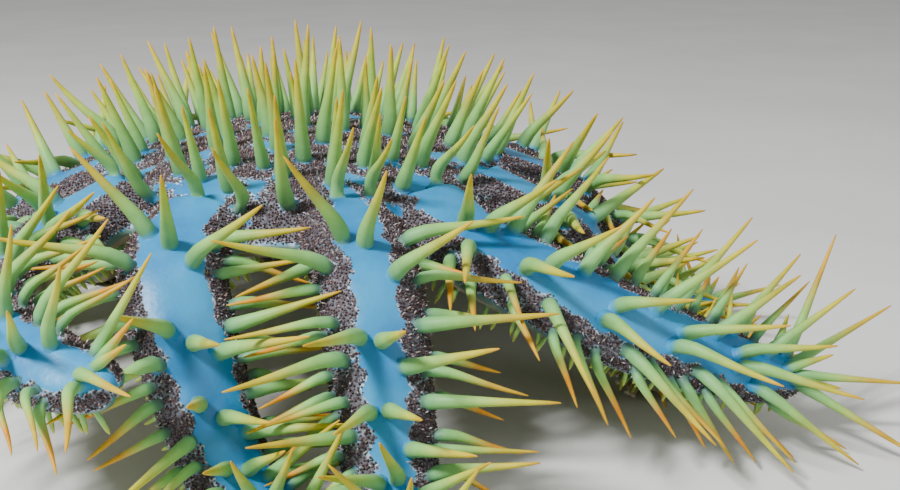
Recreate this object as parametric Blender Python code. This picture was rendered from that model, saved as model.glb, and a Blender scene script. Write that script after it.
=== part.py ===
"""Crown of thorns starfish, life size, humped up on its arms with the disc off the ground.

Metres, +Z up. The animal stands on the plane Z = 0 with its front at -Y. The disc is one
piece, and each arm is a piece of its own that meets the disc at a thin cut. The spines are
fused to the disc or to the arm that they grow from.
"""

import math
import random
from collections import namedtuple

import bmesh
import bpy
import numpy as np
from mathutils import Vector
from mathutils.bvhtree import BVHTree

# The disc
DISC_CENTRE = np.array([-0.0043, -0.0005, 0.0])
DISC_RADIUS = 0.074
RIM_UNDER = 0.057
DOME_RISE = 0.014
DISC_THICKNESS = 0.024
GROOVE_DEPTH = 0.0042
NOTCH_DEPTH = 0.0016
MOUTH_DEPTH = 0.005
CUT_GAP = 0.0003

# The rings inside the disc's rim: each one's share of the radius and its points per arm
DISC_RINGS = ((0.86, 4), (0.60, 2), (0.34, 2), (0.15, 1))

# The arms
ARM_WIDTH = 0.0312
ARM_HEIGHT = 0.016
ARM_TAPER = 0.36
ARM_STATIONS = 8
ARM_END_BULGE = 0.0022
TIP_CURL_LENGTH = 0.010
TIP_CURL = math.radians(12)
PATH_STEPS = 240
LEAST_SLOPE = math.radians(1)
ROLL_LENGTH = 0.060
ROOT_SLOPE = math.atan(2 * DOME_RISE / DISC_RADIUS)

# The tube feet in the grooves, and the ring of jaws round the mouth
FEET_PER_ROW = 3
FOOT_RADIUS = 0.0010
FOOT_FLARE = 1.25
FOOT_LENGTH = 0.0065
FOOT_SINK = 0.0015
FOOT_FLOOR_GAP = 0.0006
FOOT_PLACE = 0.13
JAW_OUTER = 0.0085
JAW_INNER = (0.0032, 0.0056)
JAW_HEIGHT = 0.0022

# The spines
SPINE_RADIUS = 0.0023
SPINE_SINK = 0.0026
SPINE_KNEE = 0.28
SPINE_GAP = 0.0007
FLOOR_GAP = 0.0022
SHORTEST_SPINE = 0.008
DISC_SPINES = 58
DISC_SPINE_REACH = 0.066
DISC_SPINE_LENGTH = 0.0315
DISC_SPINE_LEAN = 0.22
GOLDEN_ANGLE = math.pi * (3 - math.sqrt(5))

# How a spine's place, angles and size vary along an arm: lengths in metres, angles in degrees,
# and the rest as shares
ROW_JITTER = 0.0015
ROW_END = 0.006
PITCH_SPREAD = (0.92, 1.08)
PLACE_JITTER = 0.02
LEAN_JITTER = 7
FORWARD_JITTER = 8
LENGTH_SPREAD = (0.90, 1.10)
THINNING = 0.25

# How crowded spines are turned apart: the rounds, the most that a tip moves in a round, how near
# the skin and the roots have to be to count, and how a spine that stays crowded is shortened
COMB_ROUNDS = 90
LARGEST_MOVE = 0.004
LEVER_SOFTNESS = 0.05
SKIN_REACH = 0.012
PAIR_MARGIN = 0.006
ROOT_SHARE = 0.12
CLEAR_SHARES = (0.36, 0.5, 0.65, 0.8, 0.9, 1.0)
TRIM_ROUNDS = 40
TRIM = 0.92
FLOOR_SLACK = 0.0005

# Each arm: where it leaves the disc, as an angle from the front towards +X, its length, its
# sideways bend and the length that bend is spread over, the length over which the arm comes
# down, how high its underside is there, how many degrees its back rolls towards one side, how
# many degrees the spines of that side sweep towards its end, how many degrees further forward
# all its spines lean there, and how much longer they are there, as a share
Arm = namedtuple("Arm", "name azimuth length bend turn hang lift roll sweep gain grow")
ARMS = (
    Arm("arm_01", 17, 0.122, -5, 0.030, 0.100, 0.0, 0, 0, 16, -0.22),
    Arm("arm_02", 41, 0.120, 88, 0.065, 0.150, 0.018, 46, 24, 32, 0.14),
    Arm("arm_03", 67, 0.116, 48, 0.050, 0.094, 0.0, 0, 0, 16, -0.22),
    Arm("arm_04", 94, 0.118, 34, 0.050, 0.096, 0.0, 0, 0, 16, -0.22),
    Arm("arm_05", 120, 0.116, 20, 0.040, 0.094, 0.0, 0, 0, 16, -0.22),
    Arm("arm_06", 147, 0.114, 12, 0.040, 0.092, 0.0, 0, 0, 16, -0.22),
    Arm("arm_07", 173, 0.120, -6, 0.040, 0.098, 0.0, 0, 0, 16, -0.22),
    Arm("arm_08", 199, 0.115, -14, 0.040, 0.094, 0.0, 0, 0, 16, -0.22),
    Arm("arm_09", 226, 0.118, 10, 0.040, 0.096, 0.0, 0, 0, 16, -0.22),
    Arm("arm_10", 252, 0.114, 12, 0.040, 0.094, 0.0, 0, 0, 16, -0.22),
    Arm("arm_11", 279, 0.118, 14, 0.040, 0.096, 0.0, 0, 0, 16, -0.22),
    Arm("arm_12", 305, 0.120, 176, 0.105, 0.150, 0.046, 36, 30, 16, -0.22),
    Arm("arm_13", 338, 0.122, 68, 0.024, 0.100, 0.0, 0, 0, 16, -0.22),
)

# The outline of an arm across its length, as shares of its half width and its height, from
# one edge to the other: over the back, and under the belly with the groove of the tube feet
HALF_BACK = ((0.20, 1), (0.62, 0.90), (0.88, 0.68), (1, 0.36))
HALF_BELLY = ((0, 0.26), (0.24, 0), (0.72, 0), (1, 0.36))
BACK = tuple((-x, y) for x, y in reversed(HALF_BACK)) + HALF_BACK
BELLY = tuple((-x, y) for x, y in reversed(HALF_BELLY[1:])) + HALF_BELLY

# Each row of spines along an arm: its place across the back from -1 to 1, its first spine and
# the step between spines along the arm, a spine's length, how many degrees it leans sideways
# from upright and forward to the arm's end, and its count of sides
Row = namedtuple("Row", "place first pitch length lean forward sides")
ROWS = (
    Row(0.00, 0.012, 0.0200, 0.028, 2, 10, 4),
    Row(-0.41, 0.007, 0.0215, 0.031, -32, 4, 4),
    Row(0.41, 0.017, 0.0215, 0.031, 32, 4, 4),
    Row(-0.76, 0.015, 0.0205, 0.035, -66, 6, 4),
    Row(0.76, 0.008, 0.0205, 0.035, 66, 6, 4),
    Row(-0.94, 0.011, 0.0320, 0.025, -96, 8, 3),
    Row(0.94, 0.024, 0.0320, 0.025, 96, 8, 3),
)
MOST_FORWARD = 50

# The fan of spines at an arm's end: their turns in degrees, and how far back it starts. Their
# length is that on an arm whose spines keep theirs to the end
END_FAN = (-58, -20, 20, 58)
END_FAN_JITTER = 6
END_FAN_START = 0.0035
END_FAN_RISE = 0.35
END_FAN_SPREAD = 0.7
END_SPINE_LENGTH = 0.0346
END_SPINE_WIDTH = 0.7
END_SPINE_SIDES = 3

SKIN_BLUE = (0.10, 0.33, 0.62, 1)

Spine = namedtuple("Spine", "node root tip radius sides")


def smooth(t):
    """A step from 0 to 1 that starts and ends level."""
    t = np.clip(t, 0.0, 1.0)
    return t * t * (3 - 2 * t)


def unit(v):
    v = np.asarray(v, float)
    return v / np.linalg.norm(v)


def outward(angle):
    """The level direction at an angle from the front towards +X."""
    return np.array([math.sin(angle), -math.cos(angle), 0.0])


class ArmPath:
    """The line along an arm's underside, with the arm's own directions at each point."""

    def __init__(self, arm):
        self.arm = arm
        self.length = arm.length
        low, high = LEAST_SLOPE, math.radians(100)
        for _ in range(40):
            middle = (low + high) / 2
            self._walk(middle)
            if self._lowest() > arm.lift:
                low = middle
            else:
                high = middle

    def _walk(self, steepest):
        """Step along the arm as it turns down at its root and levels out again."""
        arm = self.arm
        s = np.linspace(0, arm.length, PATH_STEPS)
        head = math.radians(arm.azimuth) + math.radians(arm.bend) * (1 - np.exp(-s / arm.turn))
        turn_down = smooth(s / (0.30 * arm.hang))
        level_out = 1 - smooth((s / arm.hang - 0.55) / 0.45)
        start = ROOT_SLOPE * (1 - smooth(s / (0.35 * arm.hang)))
        curl = smooth((s - arm.length + TIP_CURL_LENGTH) / TIP_CURL_LENGTH)
        slope = np.maximum(start, steepest * turn_down * level_out) - TIP_CURL * curl
        head_between = (head[1:] + head[:-1]) / 2
        slope_between = (slope[1:] + slope[:-1]) / 2
        level = np.cos(slope_between)
        moves = [np.sin(head_between) * level, -np.cos(head_between) * level, -np.sin(slope_between)]
        first = DISC_CENTRE + outward(head[0]) * DISC_RADIUS + np.array([0, 0, RIM_UNDER])
        self.s = s
        self.head = head
        self.slope = slope
        self.points = np.vstack(([first], first + np.cumsum(s[1] * np.stack(moves, 1), axis=0)))

    def _lowest(self):
        foot = min(self.arm.hang, self.length - TIP_CURL_LENGTH)
        return np.interp(foot, self.s, self.points[:, 2])

    def at(self, s):
        """(point, sideways, upright, onward) at length s, with the arm's roll in the directions."""
        point = np.array([np.interp(s, self.s, self.points[:, i]) for i in range(3)])
        head = np.interp(s, self.s, self.head)
        slope = np.interp(s, self.s, self.slope)
        roll = math.radians(self.arm.roll) * smooth(s / ROLL_LENGTH)
        ahead = outward(head)
        level = np.array([math.cos(head), math.sin(head), 0.0])
        high = ahead * math.sin(slope) + np.array([0, 0, math.cos(slope)])
        sideways = level * math.cos(roll) + high * math.sin(roll)
        upright = high * math.cos(roll) - level * math.sin(roll)
        onward = ahead * math.cos(slope) - np.array([0, 0, math.sin(slope)])
        return point, sideways, upright, onward

    def size_at(self, s):
        """(half width, height) of the arm at length s."""
        t = s / self.length
        taper = 1 - ARM_TAPER * t
        return ARM_WIDTH / 2 * taper * math.sqrt(1 - 0.7 * t**8), ARM_HEIGHT * taper * (1 - 0.3 * t**8)

    def outline(self, s, shape):
        """The points of BACK or BELLY at length s."""
        point, sideways, upright, _ = self.at(s)
        half, height = self.size_at(s)
        return [point + sideways * half * x + upright * height * y for x, y in shape]

    def on_back(self, s, place):
        """The point on the back at length s, at a place from -1 to 1 across it."""
        point, sideways, upright, _ = self.at(s)
        half, height = self.size_at(s)
        y = np.interp(place, [x for x, _ in BACK], [y for _, y in BACK])
        return point + sideways * half * place + upright * height * y


def material(name, colour, roughness):
    """A plain finish."""
    made = bpy.data.materials.new(name)
    made.use_nodes = True
    shader = made.node_tree.nodes["Principled BSDF"]
    shader.inputs["Base Color"].default_value = colour
    shader.inputs["Roughness"].default_value = roughness
    shader.inputs["Metallic"].default_value = 0.0
    made.diffuse_color = colour
    return made


def closed_mesh(name, points, faces, finish):
    """A closed object with its faces pointing out."""
    mesh = bpy.data.meshes.new(name)
    mesh.from_pydata([tuple(p) for p in points], [], faces)
    made = bmesh.new()
    made.from_mesh(mesh)
    bmesh.ops.recalc_face_normals(made, faces=made.faces)
    made.to_mesh(mesh)
    made.free()
    mesh.materials.append(finish)
    obj = bpy.data.objects.new(name, mesh)
    bpy.context.scene.collection.objects.link(obj)
    return obj


def arm_body(path, finish):
    """An arm without its spines, from its cut to its rounded end."""
    foot_end = path.length - TIP_CURL_LENGTH
    foot_start = min(path.arm.hang, foot_end * (ARM_STATIONS - 3) / (ARM_STATIONS - 2))
    stations = [*np.linspace(0, foot_start, ARM_STATIONS - 2), foot_end, path.length]
    outline = BACK + BELLY[-2:0:-1]
    count = len(outline)
    points = []
    for s in stations:
        points += path.outline(s, outline)
    cut = path.at(0)[3] * CUT_GAP
    points[:count] = [p + cut for p in points[:count]]
    faces = []
    for first in range(0, (ARM_STATIONS - 1) * count, count):
        for i in range(count):
            j = (i + 1) % count
            faces.append((first + i, first + j, first + j + count, first + i + count))
    faces.append(tuple(range(count)))
    point, _, upright, onward = path.at(path.length)
    points.append(point + onward * ARM_END_BULGE + upright * path.size_at(path.length)[1] / 2)
    last = (ARM_STATIONS - 1) * count
    faces += [(last + i, last + (i + 1) % count, len(points) - 1) for i in range(count)]
    return closed_mesh(path.arm.name, points, faces, finish)


def dome_height(share):
    """The height of the disc's top at a share of the way out to its rim."""
    rim_top = RIM_UNDER + ARM_HEIGHT * math.cos(ROOT_SLOPE)
    return rim_top + DOME_RISE * (1 - share**2)


def hollow_height(share):
    """The height of the disc's underside, which arches up to the mouth."""
    centre = dome_height(0) - DISC_THICKNESS
    return centre + (RIM_UNDER - centre) * share**2


def disc_ring(share, per_arm, upper):
    """The points of one ring inside the rim: (angle, point) all round."""
    ring = []
    for i, arm in enumerate(ARMS):
        start = math.radians(arm.azimuth)
        sector = math.radians((ARMS[(i + 1) % len(ARMS)].azimuth - arm.azimuth) % 360)
        for k in range(per_arm):
            angle = start + sector * k / per_arm
            between = math.sin(math.pi * k / per_arm)
            if upper:
                height = dome_height(share) - NOTCH_DEPTH * between * share**4
            else:
                height = hollow_height(share) + (GROOVE_DEPTH if k == 0 else 0)
            point = DISC_CENTRE + outward(angle) * DISC_RADIUS * share + np.array([0, 0, height])
            ring.append((angle, point))
    return ring


def disc_rim(paths, shape):
    """The points of the rim, where the arms' root outlines follow one another: (angle, point)."""
    rim = []
    for path in paths:
        start = math.radians(path.arm.azimuth)
        for point in path.outline(0, shape):
            off = point - DISC_CENTRE
            turn = math.atan2(off[0], -off[1]) - start
            rim.append((start + (turn + math.pi) % (2 * math.pi) - math.pi, point))
    return rim


def zip_rings(outer, inner):
    """Triangles between two rings of (angle, index) that run the same way round."""
    faces = []
    i = j = 0
    while i < len(outer) or j < len(inner):
        next_out = outer[(i + 1) % len(outer)][0] + 2 * math.pi * ((i + 1) // len(outer))
        next_in = inner[(j + 1) % len(inner)][0] + 2 * math.pi * ((j + 1) // len(inner))
        a, b = outer[i % len(outer)][1], inner[j % len(inner)][1]
        if j == len(inner) or (i < len(outer) and next_out <= next_in):
            faces.append((a, outer[(i + 1) % len(outer)][1], b))
            i += 1
        else:
            faces.append((a, inner[(j + 1) % len(inner)][1], b))
            j += 1
    return faces


def disc_body(paths, finish):
    """The disc without its spines: a dome whose underside is grooved to the mouth."""
    points = []
    index = {}

    def number(point):
        key = tuple(np.round(point, 7))
        if key not in index:
            index[key] = len(points)
            points.append(point)
        return index[key]

    faces = []
    rims = {}
    for upper, shape in ((True, BACK), (False, BELLY)):
        rim = [(angle, number(point)) for angle, point in disc_rim(paths, shape)]
        rings = [rim]
        for share, per_arm in DISC_RINGS:
            ring = disc_ring(share, per_arm, upper)
            rings.append([(angle, number(point)) for angle, point in ring])
        for outer, inner in zip(rings, rings[1:]):
            faces += zip_rings(outer, inner)
        height = dome_height(0) if upper else hollow_height(0) + MOUTH_DEPTH
        centre = number(DISC_CENTRE + np.array([0, 0, height]))
        last = rings[-1]
        faces += [(last[i][1], last[(i + 1) % len(last)][1], centre) for i in range(len(last))]
        rims[upper] = [k for _, k in rim]
    for i in range(len(paths)):
        back = rims[True][i * len(BACK) : (i + 1) * len(BACK)]
        belly = rims[False][i * len(BELLY) : (i + 1) * len(BELLY)]
        faces.append(tuple(back + belly[-2:0:-1]))
    return closed_mesh("disc", points, faces, finish)


def arm_spines(path, rng):
    """The spines of one arm, row by row, with a fan at its end."""
    spines = []
    for row in ROWS:
        s = row.first + ROW_JITTER * rng.uniform(-1, 1)
        while s < path.length - ROW_END:
            t = s / path.length
            place = row.place + rng.uniform(-PLACE_JITTER, PLACE_JITTER)
            _, sideways, upright, onward = path.at(s)
            lean = math.radians(row.lean + rng.uniform(-LEAN_JITTER, LEAN_JITTER))
            turned = row.forward + path.arm.gain * t + path.arm.sweep * (1 - row.place) / 2
            turned += rng.uniform(-FORWARD_JITTER, FORWARD_JITTER)
            forward = math.radians(min(turned, MOST_FORWARD))
            aim = unit(upright * math.cos(lean) + sideways * math.sin(lean) + onward * math.tan(forward))
            root = path.on_back(s, place)
            tip = root + aim * row.length * (1 + path.arm.grow * t**2) * rng.uniform(*LENGTH_SPREAD)
            radius = SPINE_RADIUS * (1 - THINNING * t)
            spines.append(Spine(path.arm.name, root, tip, radius, row.sides))
            s += row.pitch * rng.uniform(*PITCH_SPREAD)
    end = path.length - END_FAN_START
    _, sideways, upright, onward = path.at(end)
    for turn in END_FAN:
        angle = math.radians(turn + rng.uniform(-END_FAN_JITTER, END_FAN_JITTER))
        aim = unit(onward * math.cos(angle) + sideways * math.sin(angle) + upright * END_FAN_RISE)
        root = path.on_back(end, END_FAN_SPREAD * math.sin(angle))
        tip = root + aim * END_SPINE_LENGTH * (1 + path.arm.grow) * rng.uniform(*LENGTH_SPREAD)
        spines.append(Spine(path.arm.name, root, tip, SPINE_RADIUS * END_SPINE_WIDTH, END_SPINE_SIDES))
    return spines


def disc_spines(rng):
    """The spines of the disc, spread evenly over the dome."""
    spines = []
    for i in range(DISC_SPINES):
        reach = DISC_SPINE_REACH * math.sqrt((i + 0.5) / DISC_SPINES)
        out = outward(i * GOLDEN_ANGLE + rng.uniform(-0.05, 0.05))
        fall = 2 * DOME_RISE * reach / DISC_RADIUS**2
        lean = DISC_SPINE_LEAN * (reach / DISC_SPINE_REACH) ** 2
        jitter = np.array([rng.uniform(-0.13, 0.13), rng.uniform(-0.13, 0.13), 0])
        aim = unit(out * (fall + lean) + np.array([0, 0, 1.0]) + jitter)
        root = DISC_CENTRE + out * reach + np.array([0, 0, dome_height(reach / DISC_RADIUS)])
        tip = root + aim * DISC_SPINE_LENGTH * rng.uniform(0.82, 1.10)
        spines.append(Spine("disc", root, tip, SPINE_RADIUS, 4))
    return spines


def tube_foot(path, s, side, name, finish):
    """A closed tube foot that hangs from the groove's roof and flares to its sucker."""
    point, sideways, upright, onward = path.at(s)
    half, height = path.size_at(s)
    groove = height * BELLY[len(BELLY) // 2][1]
    root = point + sideways * half * FOOT_PLACE * side + upright * groove / 2
    clear = (root[2] - FOOT_FLARE * FOOT_RADIUS - FOOT_FLOOR_GAP) / max(upright[2], 0.3)
    length = min(FOOT_LENGTH, max(clear, 0.0008))
    points = []
    for along, width in ((FOOT_SINK, 1), (-length, FOOT_FLARE)):
        for a, b in ((-1, 0), (0, -1), (1, 0), (0, 1)):
            ring = (sideways * a + onward * b) * FOOT_RADIUS * width
            points.append(root + upright * along + ring)
    faces = [(0, 1, 2, 3), (4, 5, 6, 7)]
    faces += [(k, (k + 1) % 4, (k + 1) % 4 + 4, k + 4) for k in range(4)]
    return closed_mesh(name, points, faces, finish)


def tube_feet(path, finish):
    """Two rows of tube feet along an arm's groove, out to its end."""
    feet = []
    for side in (-1, 1):
        for k in range(FEET_PER_ROW):
            s = path.length * (k + 0.7 + 0.25 * side) / FEET_PER_ROW
            feet.append(tube_foot(path, s, side, f"foot_{side}_{k}", finish))
    return feet


def mouth_ring(finish):
    """The ring of jaws round the mouth, one jaw to an arm, just under the disc."""
    count = 2 * len(ARMS)
    top = hollow_height(0) + GROOVE_DEPTH - CUT_GAP
    points = []
    for k in range(count):
        out = outward(2 * math.pi * k / count)
        inner = JAW_INNER[k % 2]
        for reach, height in ((JAW_OUTER, top), (inner, top), ((JAW_OUTER + inner) / 2, top - JAW_HEIGHT)):
            points.append(DISC_CENTRE + out * reach + np.array([0, 0, height]))
    faces = []
    for k in range(count):
        a, b = 3 * k, 3 * ((k + 1) % count)
        faces += [(a + i, b + i, b + (i + 1) % 3, a + (i + 1) % 3) for i in range(3)]
    return closed_mesh("mouth", points, faces, finish)


def spine_radius(radius, share):
    """A spine's radius at a share of its length."""
    return radius * np.clip((1 - share) / (1 - SPINE_KNEE), 0, 1)


def close_pairs(roots, tips, radii):
    """Pairs of spines that come too close: (i, j, share on i, share on j, push, shortfall)."""
    reach = np.linalg.norm(tips - roots, axis=1)
    apart = np.linalg.norm(roots[:, None] - roots[None], axis=2)
    i, j = np.nonzero(np.triu(apart < reach[:, None] + reach[None] + PAIR_MARGIN, 1))
    u, v, w = tips[i] - roots[i], tips[j] - roots[j], roots[i] - roots[j]
    a, b, c = (u * u).sum(1), (u * v).sum(1), (v * v).sum(1)
    d, e = (u * w).sum(1), (v * w).sum(1)
    s = np.clip((b * e - c * d) / np.maximum(a * c - b * b, 1e-14), 0, 1)
    t = np.clip((b * s + e) / c, 0, 1)
    s = np.clip((b * t - d) / a, 0, 1)
    gap = w + u * s[:, None] - v * t[:, None]
    distance = np.linalg.norm(gap, axis=1)
    need = spine_radius(radii[i], s) + spine_radius(radii[j], t) + SPINE_GAP - distance
    rooted = (s < ROOT_SHARE) & (t < ROOT_SHARE)
    near = (need > 0) & ~rooted
    push = gap / np.maximum(distance, 1e-7)[:, None]
    return i[near], j[near], s[near], t[near], push[near], need[near]


def close_to_skin(roots, tips, radii, skin):
    """Spines that come too close to the skin past their roots: (i, share, push, shortfall)."""
    found = []
    for share in CLEAR_SHARES:
        points = roots + (tips - roots) * share
        widths = spine_radius(radii, share) + SPINE_GAP
        for i, (point, width) in enumerate(zip(points, widths)):
            place, normal, _, distance = skin.find_nearest(Vector(point), SKIN_REACH)
            if place is None:
                continue
            off = np.array(Vector(point) - place)
            inside = off @ np.array(normal) < 0
            need = width + distance if inside else width - distance
            if need > 0:
                found.append((i, share, np.array(normal), need))
    return found


def comb(spines, bodies):
    """Turn the spines until each is clear of the others, of the skin and of the ground."""
    skins = bmesh.new()
    for body in bodies:
        skins.from_mesh(body.data)
    skin = BVHTree.FromBMesh(skins)
    skins.free()
    roots = np.array([spine.root for spine in spines])
    tips = np.array([spine.tip for spine in spines])
    radii = np.array([spine.radius for spine in spines])
    length = np.linalg.norm(tips - roots, axis=1)
    for _ in range(COMB_ROUNDS):
        moved = np.zeros_like(tips)
        i, j, s, t, push, need = close_pairs(roots, tips, radii)
        lever = (need / (s * s + t * t + LEVER_SOFTNESS))[:, None]
        np.add.at(moved, i, push * s[:, None] * lever)
        np.add.at(moved, j, -push * t[:, None] * lever)
        for k, share, normal, short in close_to_skin(roots, tips, radii, skin):
            moved[k] += normal * short / share
        moved[:, 2] += np.maximum(FLOOR_GAP - tips[:, 2], 0)
        aims = tips + np.clip(moved, -LARGEST_MOVE, LARGEST_MOVE) - roots
        tips = roots + aims * (length / np.linalg.norm(aims, axis=1))[:, None]
    for _ in range(TRIM_ROUNDS):
        shorter = np.ones(len(spines))
        i, j, s, t, _, _ = close_pairs(roots, tips, radii)
        shorter[np.where(s > t, i, j)] = TRIM
        for k, _, _, _ in close_to_skin(roots, tips, radii, skin):
            shorter[k] = TRIM
        shorter[tips[:, 2] < FLOOR_GAP - FLOOR_SLACK] = TRIM
        if shorter.min() == 1:
            break
        tips = roots + (tips - roots) * shorter[:, None]
    kept = []
    for spine, tip in zip(spines, tips):
        if np.linalg.norm(tip - spine.root) > SHORTEST_SPINE:
            kept.append(spine._replace(tip=tip))
    return kept


def spine_mesh(spine, name, finish):
    """A closed spine: sunk in the skin at its root, full to its knee and tapered to a point."""
    line = spine.tip - spine.root
    length = np.linalg.norm(line)
    aim = line / length
    side = unit(np.cross(aim, np.array([0.31, 0.17, 0.93])))
    other = np.cross(aim, side)
    points = []
    for along in (-SPINE_SINK, length * SPINE_KNEE):
        for k in range(spine.sides):
            turn = 2 * math.pi * k / spine.sides
            ring = side * math.cos(turn) + other * math.sin(turn)
            points.append(spine.root + aim * along + ring * spine.radius)
    points.append(spine.tip)
    n = spine.sides
    faces = [tuple(range(n))]
    for k in range(n):
        after = (k + 1) % n
        faces.append((k, after, after + n, k + n))
        faces.append((k + n, after + n, 2 * n))
    return closed_mesh(name, points, faces, finish)


def fuse(body, pieces):
    """Join the pieces to the body and keep its one closed surface."""
    group = bpy.data.collections.new("pieces")
    for piece in pieces:
        group.objects.link(piece)
    union = body.modifiers.new("union", "BOOLEAN")
    union.operation = "UNION"
    union.operand_type = "COLLECTION"
    union.collection = group
    union.solver = "EXACT"
    graph = bpy.context.evaluated_depsgraph_get()
    joined = bpy.data.meshes.new_from_object(body.evaluated_get(graph))
    body.modifiers.clear()
    body.data = joined
    for piece in pieces:
        bpy.data.objects.remove(piece)
    bpy.data.collections.remove(group)
    keep_largest(joined)


def keep_largest(mesh):
    """Delete every closed surface of a mesh but the largest."""
    made = bmesh.new()
    made.from_mesh(mesh)
    bmesh.ops.triangulate(made, faces=made.faces)
    left = set(made.verts)
    shells = []
    while left:
        shell = []
        front = [left.pop()]
        while front:
            vert = front.pop()
            shell.append(vert)
            for edge in vert.link_edges:
                other = edge.other_vert(vert)
                if other in left:
                    left.remove(other)
                    front.append(other)
        shells.append(shell)
    shells.sort(key=len)
    for shell in shells[:-1]:
        bmesh.ops.delete(made, geom=shell, context="VERTS")
    made.to_mesh(mesh)
    made.free()


def main():
    for obj in list(bpy.data.objects):
        bpy.data.objects.remove(obj)
    skin = material("skin", SKIN_BLUE, 0.5)
    paths = [ArmPath(arm) for arm in ARMS]
    bodies = [disc_body(paths, skin)] + [arm_body(path, skin) for path in paths]
    spines = disc_spines(random.Random(5))
    for number, path in enumerate(paths):
        spines += arm_spines(path, random.Random(100 + number))
    spines = comb(spines, bodies)
    for body, path in zip(bodies, [None] + paths):
        own = [spine for spine in spines if spine.node == body.name]
        pieces = [spine_mesh(spine, f"spine_{k}", skin) for k, spine in enumerate(own)]
        if path:
            pieces += tube_feet(path, skin)
        fuse(body, pieces)
    mouth_ring(skin)


if __name__ == "__main__":
    main()
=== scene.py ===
"""Crown of thorns starfish: the finished looks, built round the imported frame.

Metres, +Z up. One skin covers the disc and the arms. Spines, papulae, pincers and tube feet
grow from it, each kind as joined meshes of many small pieces.
"""

import math
import random
from collections import namedtuple

import bpy
import numpy as np
from bpy.props import FloatProperty, FloatVectorProperty, IntProperty, PointerProperty
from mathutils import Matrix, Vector, noise
from mathutils.bvhtree import BVHTree
from mathutils.kdtree import KDTree


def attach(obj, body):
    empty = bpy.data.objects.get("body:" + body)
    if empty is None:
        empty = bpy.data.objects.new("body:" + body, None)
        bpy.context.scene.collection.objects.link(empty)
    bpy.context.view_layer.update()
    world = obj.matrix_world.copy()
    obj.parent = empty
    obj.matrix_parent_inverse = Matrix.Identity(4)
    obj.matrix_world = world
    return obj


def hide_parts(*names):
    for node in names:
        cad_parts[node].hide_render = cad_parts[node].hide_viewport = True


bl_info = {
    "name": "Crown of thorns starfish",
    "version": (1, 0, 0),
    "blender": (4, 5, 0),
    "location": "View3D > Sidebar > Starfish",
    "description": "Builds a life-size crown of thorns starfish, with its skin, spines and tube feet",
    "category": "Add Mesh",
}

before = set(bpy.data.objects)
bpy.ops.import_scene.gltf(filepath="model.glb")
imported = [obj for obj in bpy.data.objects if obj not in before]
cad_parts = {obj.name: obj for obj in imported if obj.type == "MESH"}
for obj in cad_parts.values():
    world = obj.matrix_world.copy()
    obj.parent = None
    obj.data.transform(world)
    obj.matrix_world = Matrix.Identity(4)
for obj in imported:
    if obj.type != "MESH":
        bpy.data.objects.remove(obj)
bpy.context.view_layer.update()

ARM_NAMES = sorted(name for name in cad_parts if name.startswith("arm_"))

# The disc, with the same sizes as the solids
DISC_CENTRE = np.array([-0.0043, -0.0005, 0.0])
DISC_RADIUS = 0.074
RIM_UNDER = 0.057
DOME_RISE = 0.014
DISC_THICKNESS = 0.024
RIM_DROP = 0.0095
GROOVE_DEPTH = 0.0042
GROOVE_WIDTH = 0.0022
MOUTH_DEPTH = 0.005
MOUTH_RADIUS = 0.008
LIP_RISE = 0.0055

# The arms, with the same sizes as the solids
ARM_WIDTH = 0.0312
ARM_HEIGHT = 0.016
ARM_TAPER = 0.36
ARM_END_BULGE = 0.0022
ARM_INSET = 0.014
DISC_SEAM = 0.0005
TIP_CURL_LENGTH = 0.010
TIP_CURL = math.radians(12)
PATH_STEPS = 240
LEAST_SLOPE = math.radians(1)
MOST_SLOPE = math.radians(100)
SLOPE_ROUNDS = 40
ROLL_LENGTH = 0.060
ROOT_SLOPE = math.atan(2 * DOME_RISE / DISC_RADIUS)
EDGE_HEIGHT = 0.36
GROOVE_EDGE = 0.24
BELLY_EDGE = 0.72
GROOVE_ROOF = 0.26

# How finely the smooth bodies of the disc and the arms are drawn, and how their skin is eased
DISC_SIDES = 416
ARM_STATIONS = 64
BACK_POINTS = 25
BELLY_PLACES = (0.96, 0.9, 0.82, 0.72, 0.58, 0.44, 0.32, 0.25, 0.21, 0.16, 0.09, 0.0)
END_CAPS = (25, 50, 72, 86)
RELAX_STEPS = (0.55, -0.57)
RELAX_ROUNDS = 5

# Each arm: where it leaves the disc, as an angle from the front towards +X, its length, its
# sideways bend and the length that bend is spread over, the length over which the arm comes
# down, how high its underside is there, how many degrees its back rolls towards one side, how
# many degrees the spines of that side sweep towards its end, how many degrees further forward
# all its spines lean there, and how much longer they are there, as a share. Most arms have the
# usual values of the last five
USUAL = (0.0, 0, 0, 16, -0.22)
Arm = namedtuple("Arm", "name azimuth length bend turn hang lift roll sweep gain grow", defaults=USUAL)
ARMS = (
    Arm("arm_01", 17, 0.122, -5, 0.030, 0.100),
    Arm("arm_02", 41, 0.120, 88, 0.065, 0.150, 0.018, 46, 24, 32, 0.14),
    Arm("arm_03", 67, 0.116, 48, 0.050, 0.094),
    Arm("arm_04", 94, 0.118, 34, 0.050, 0.096),
    Arm("arm_05", 120, 0.116, 20, 0.040, 0.094),
    Arm("arm_06", 147, 0.114, 12, 0.040, 0.092),
    Arm("arm_07", 173, 0.120, -6, 0.040, 0.098),
    Arm("arm_08", 199, 0.115, -14, 0.040, 0.094),
    Arm("arm_09", 226, 0.118, 10, 0.040, 0.096),
    Arm("arm_10", 252, 0.114, 12, 0.040, 0.094),
    Arm("arm_11", 279, 0.118, 14, 0.040, 0.096),
    Arm("arm_12", 305, 0.120, 176, 0.105, 0.150, 0.046, 36, 30, 16, -0.22),
    Arm("arm_13", 338, 0.122, 68, 0.024, 0.100),
)

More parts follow.
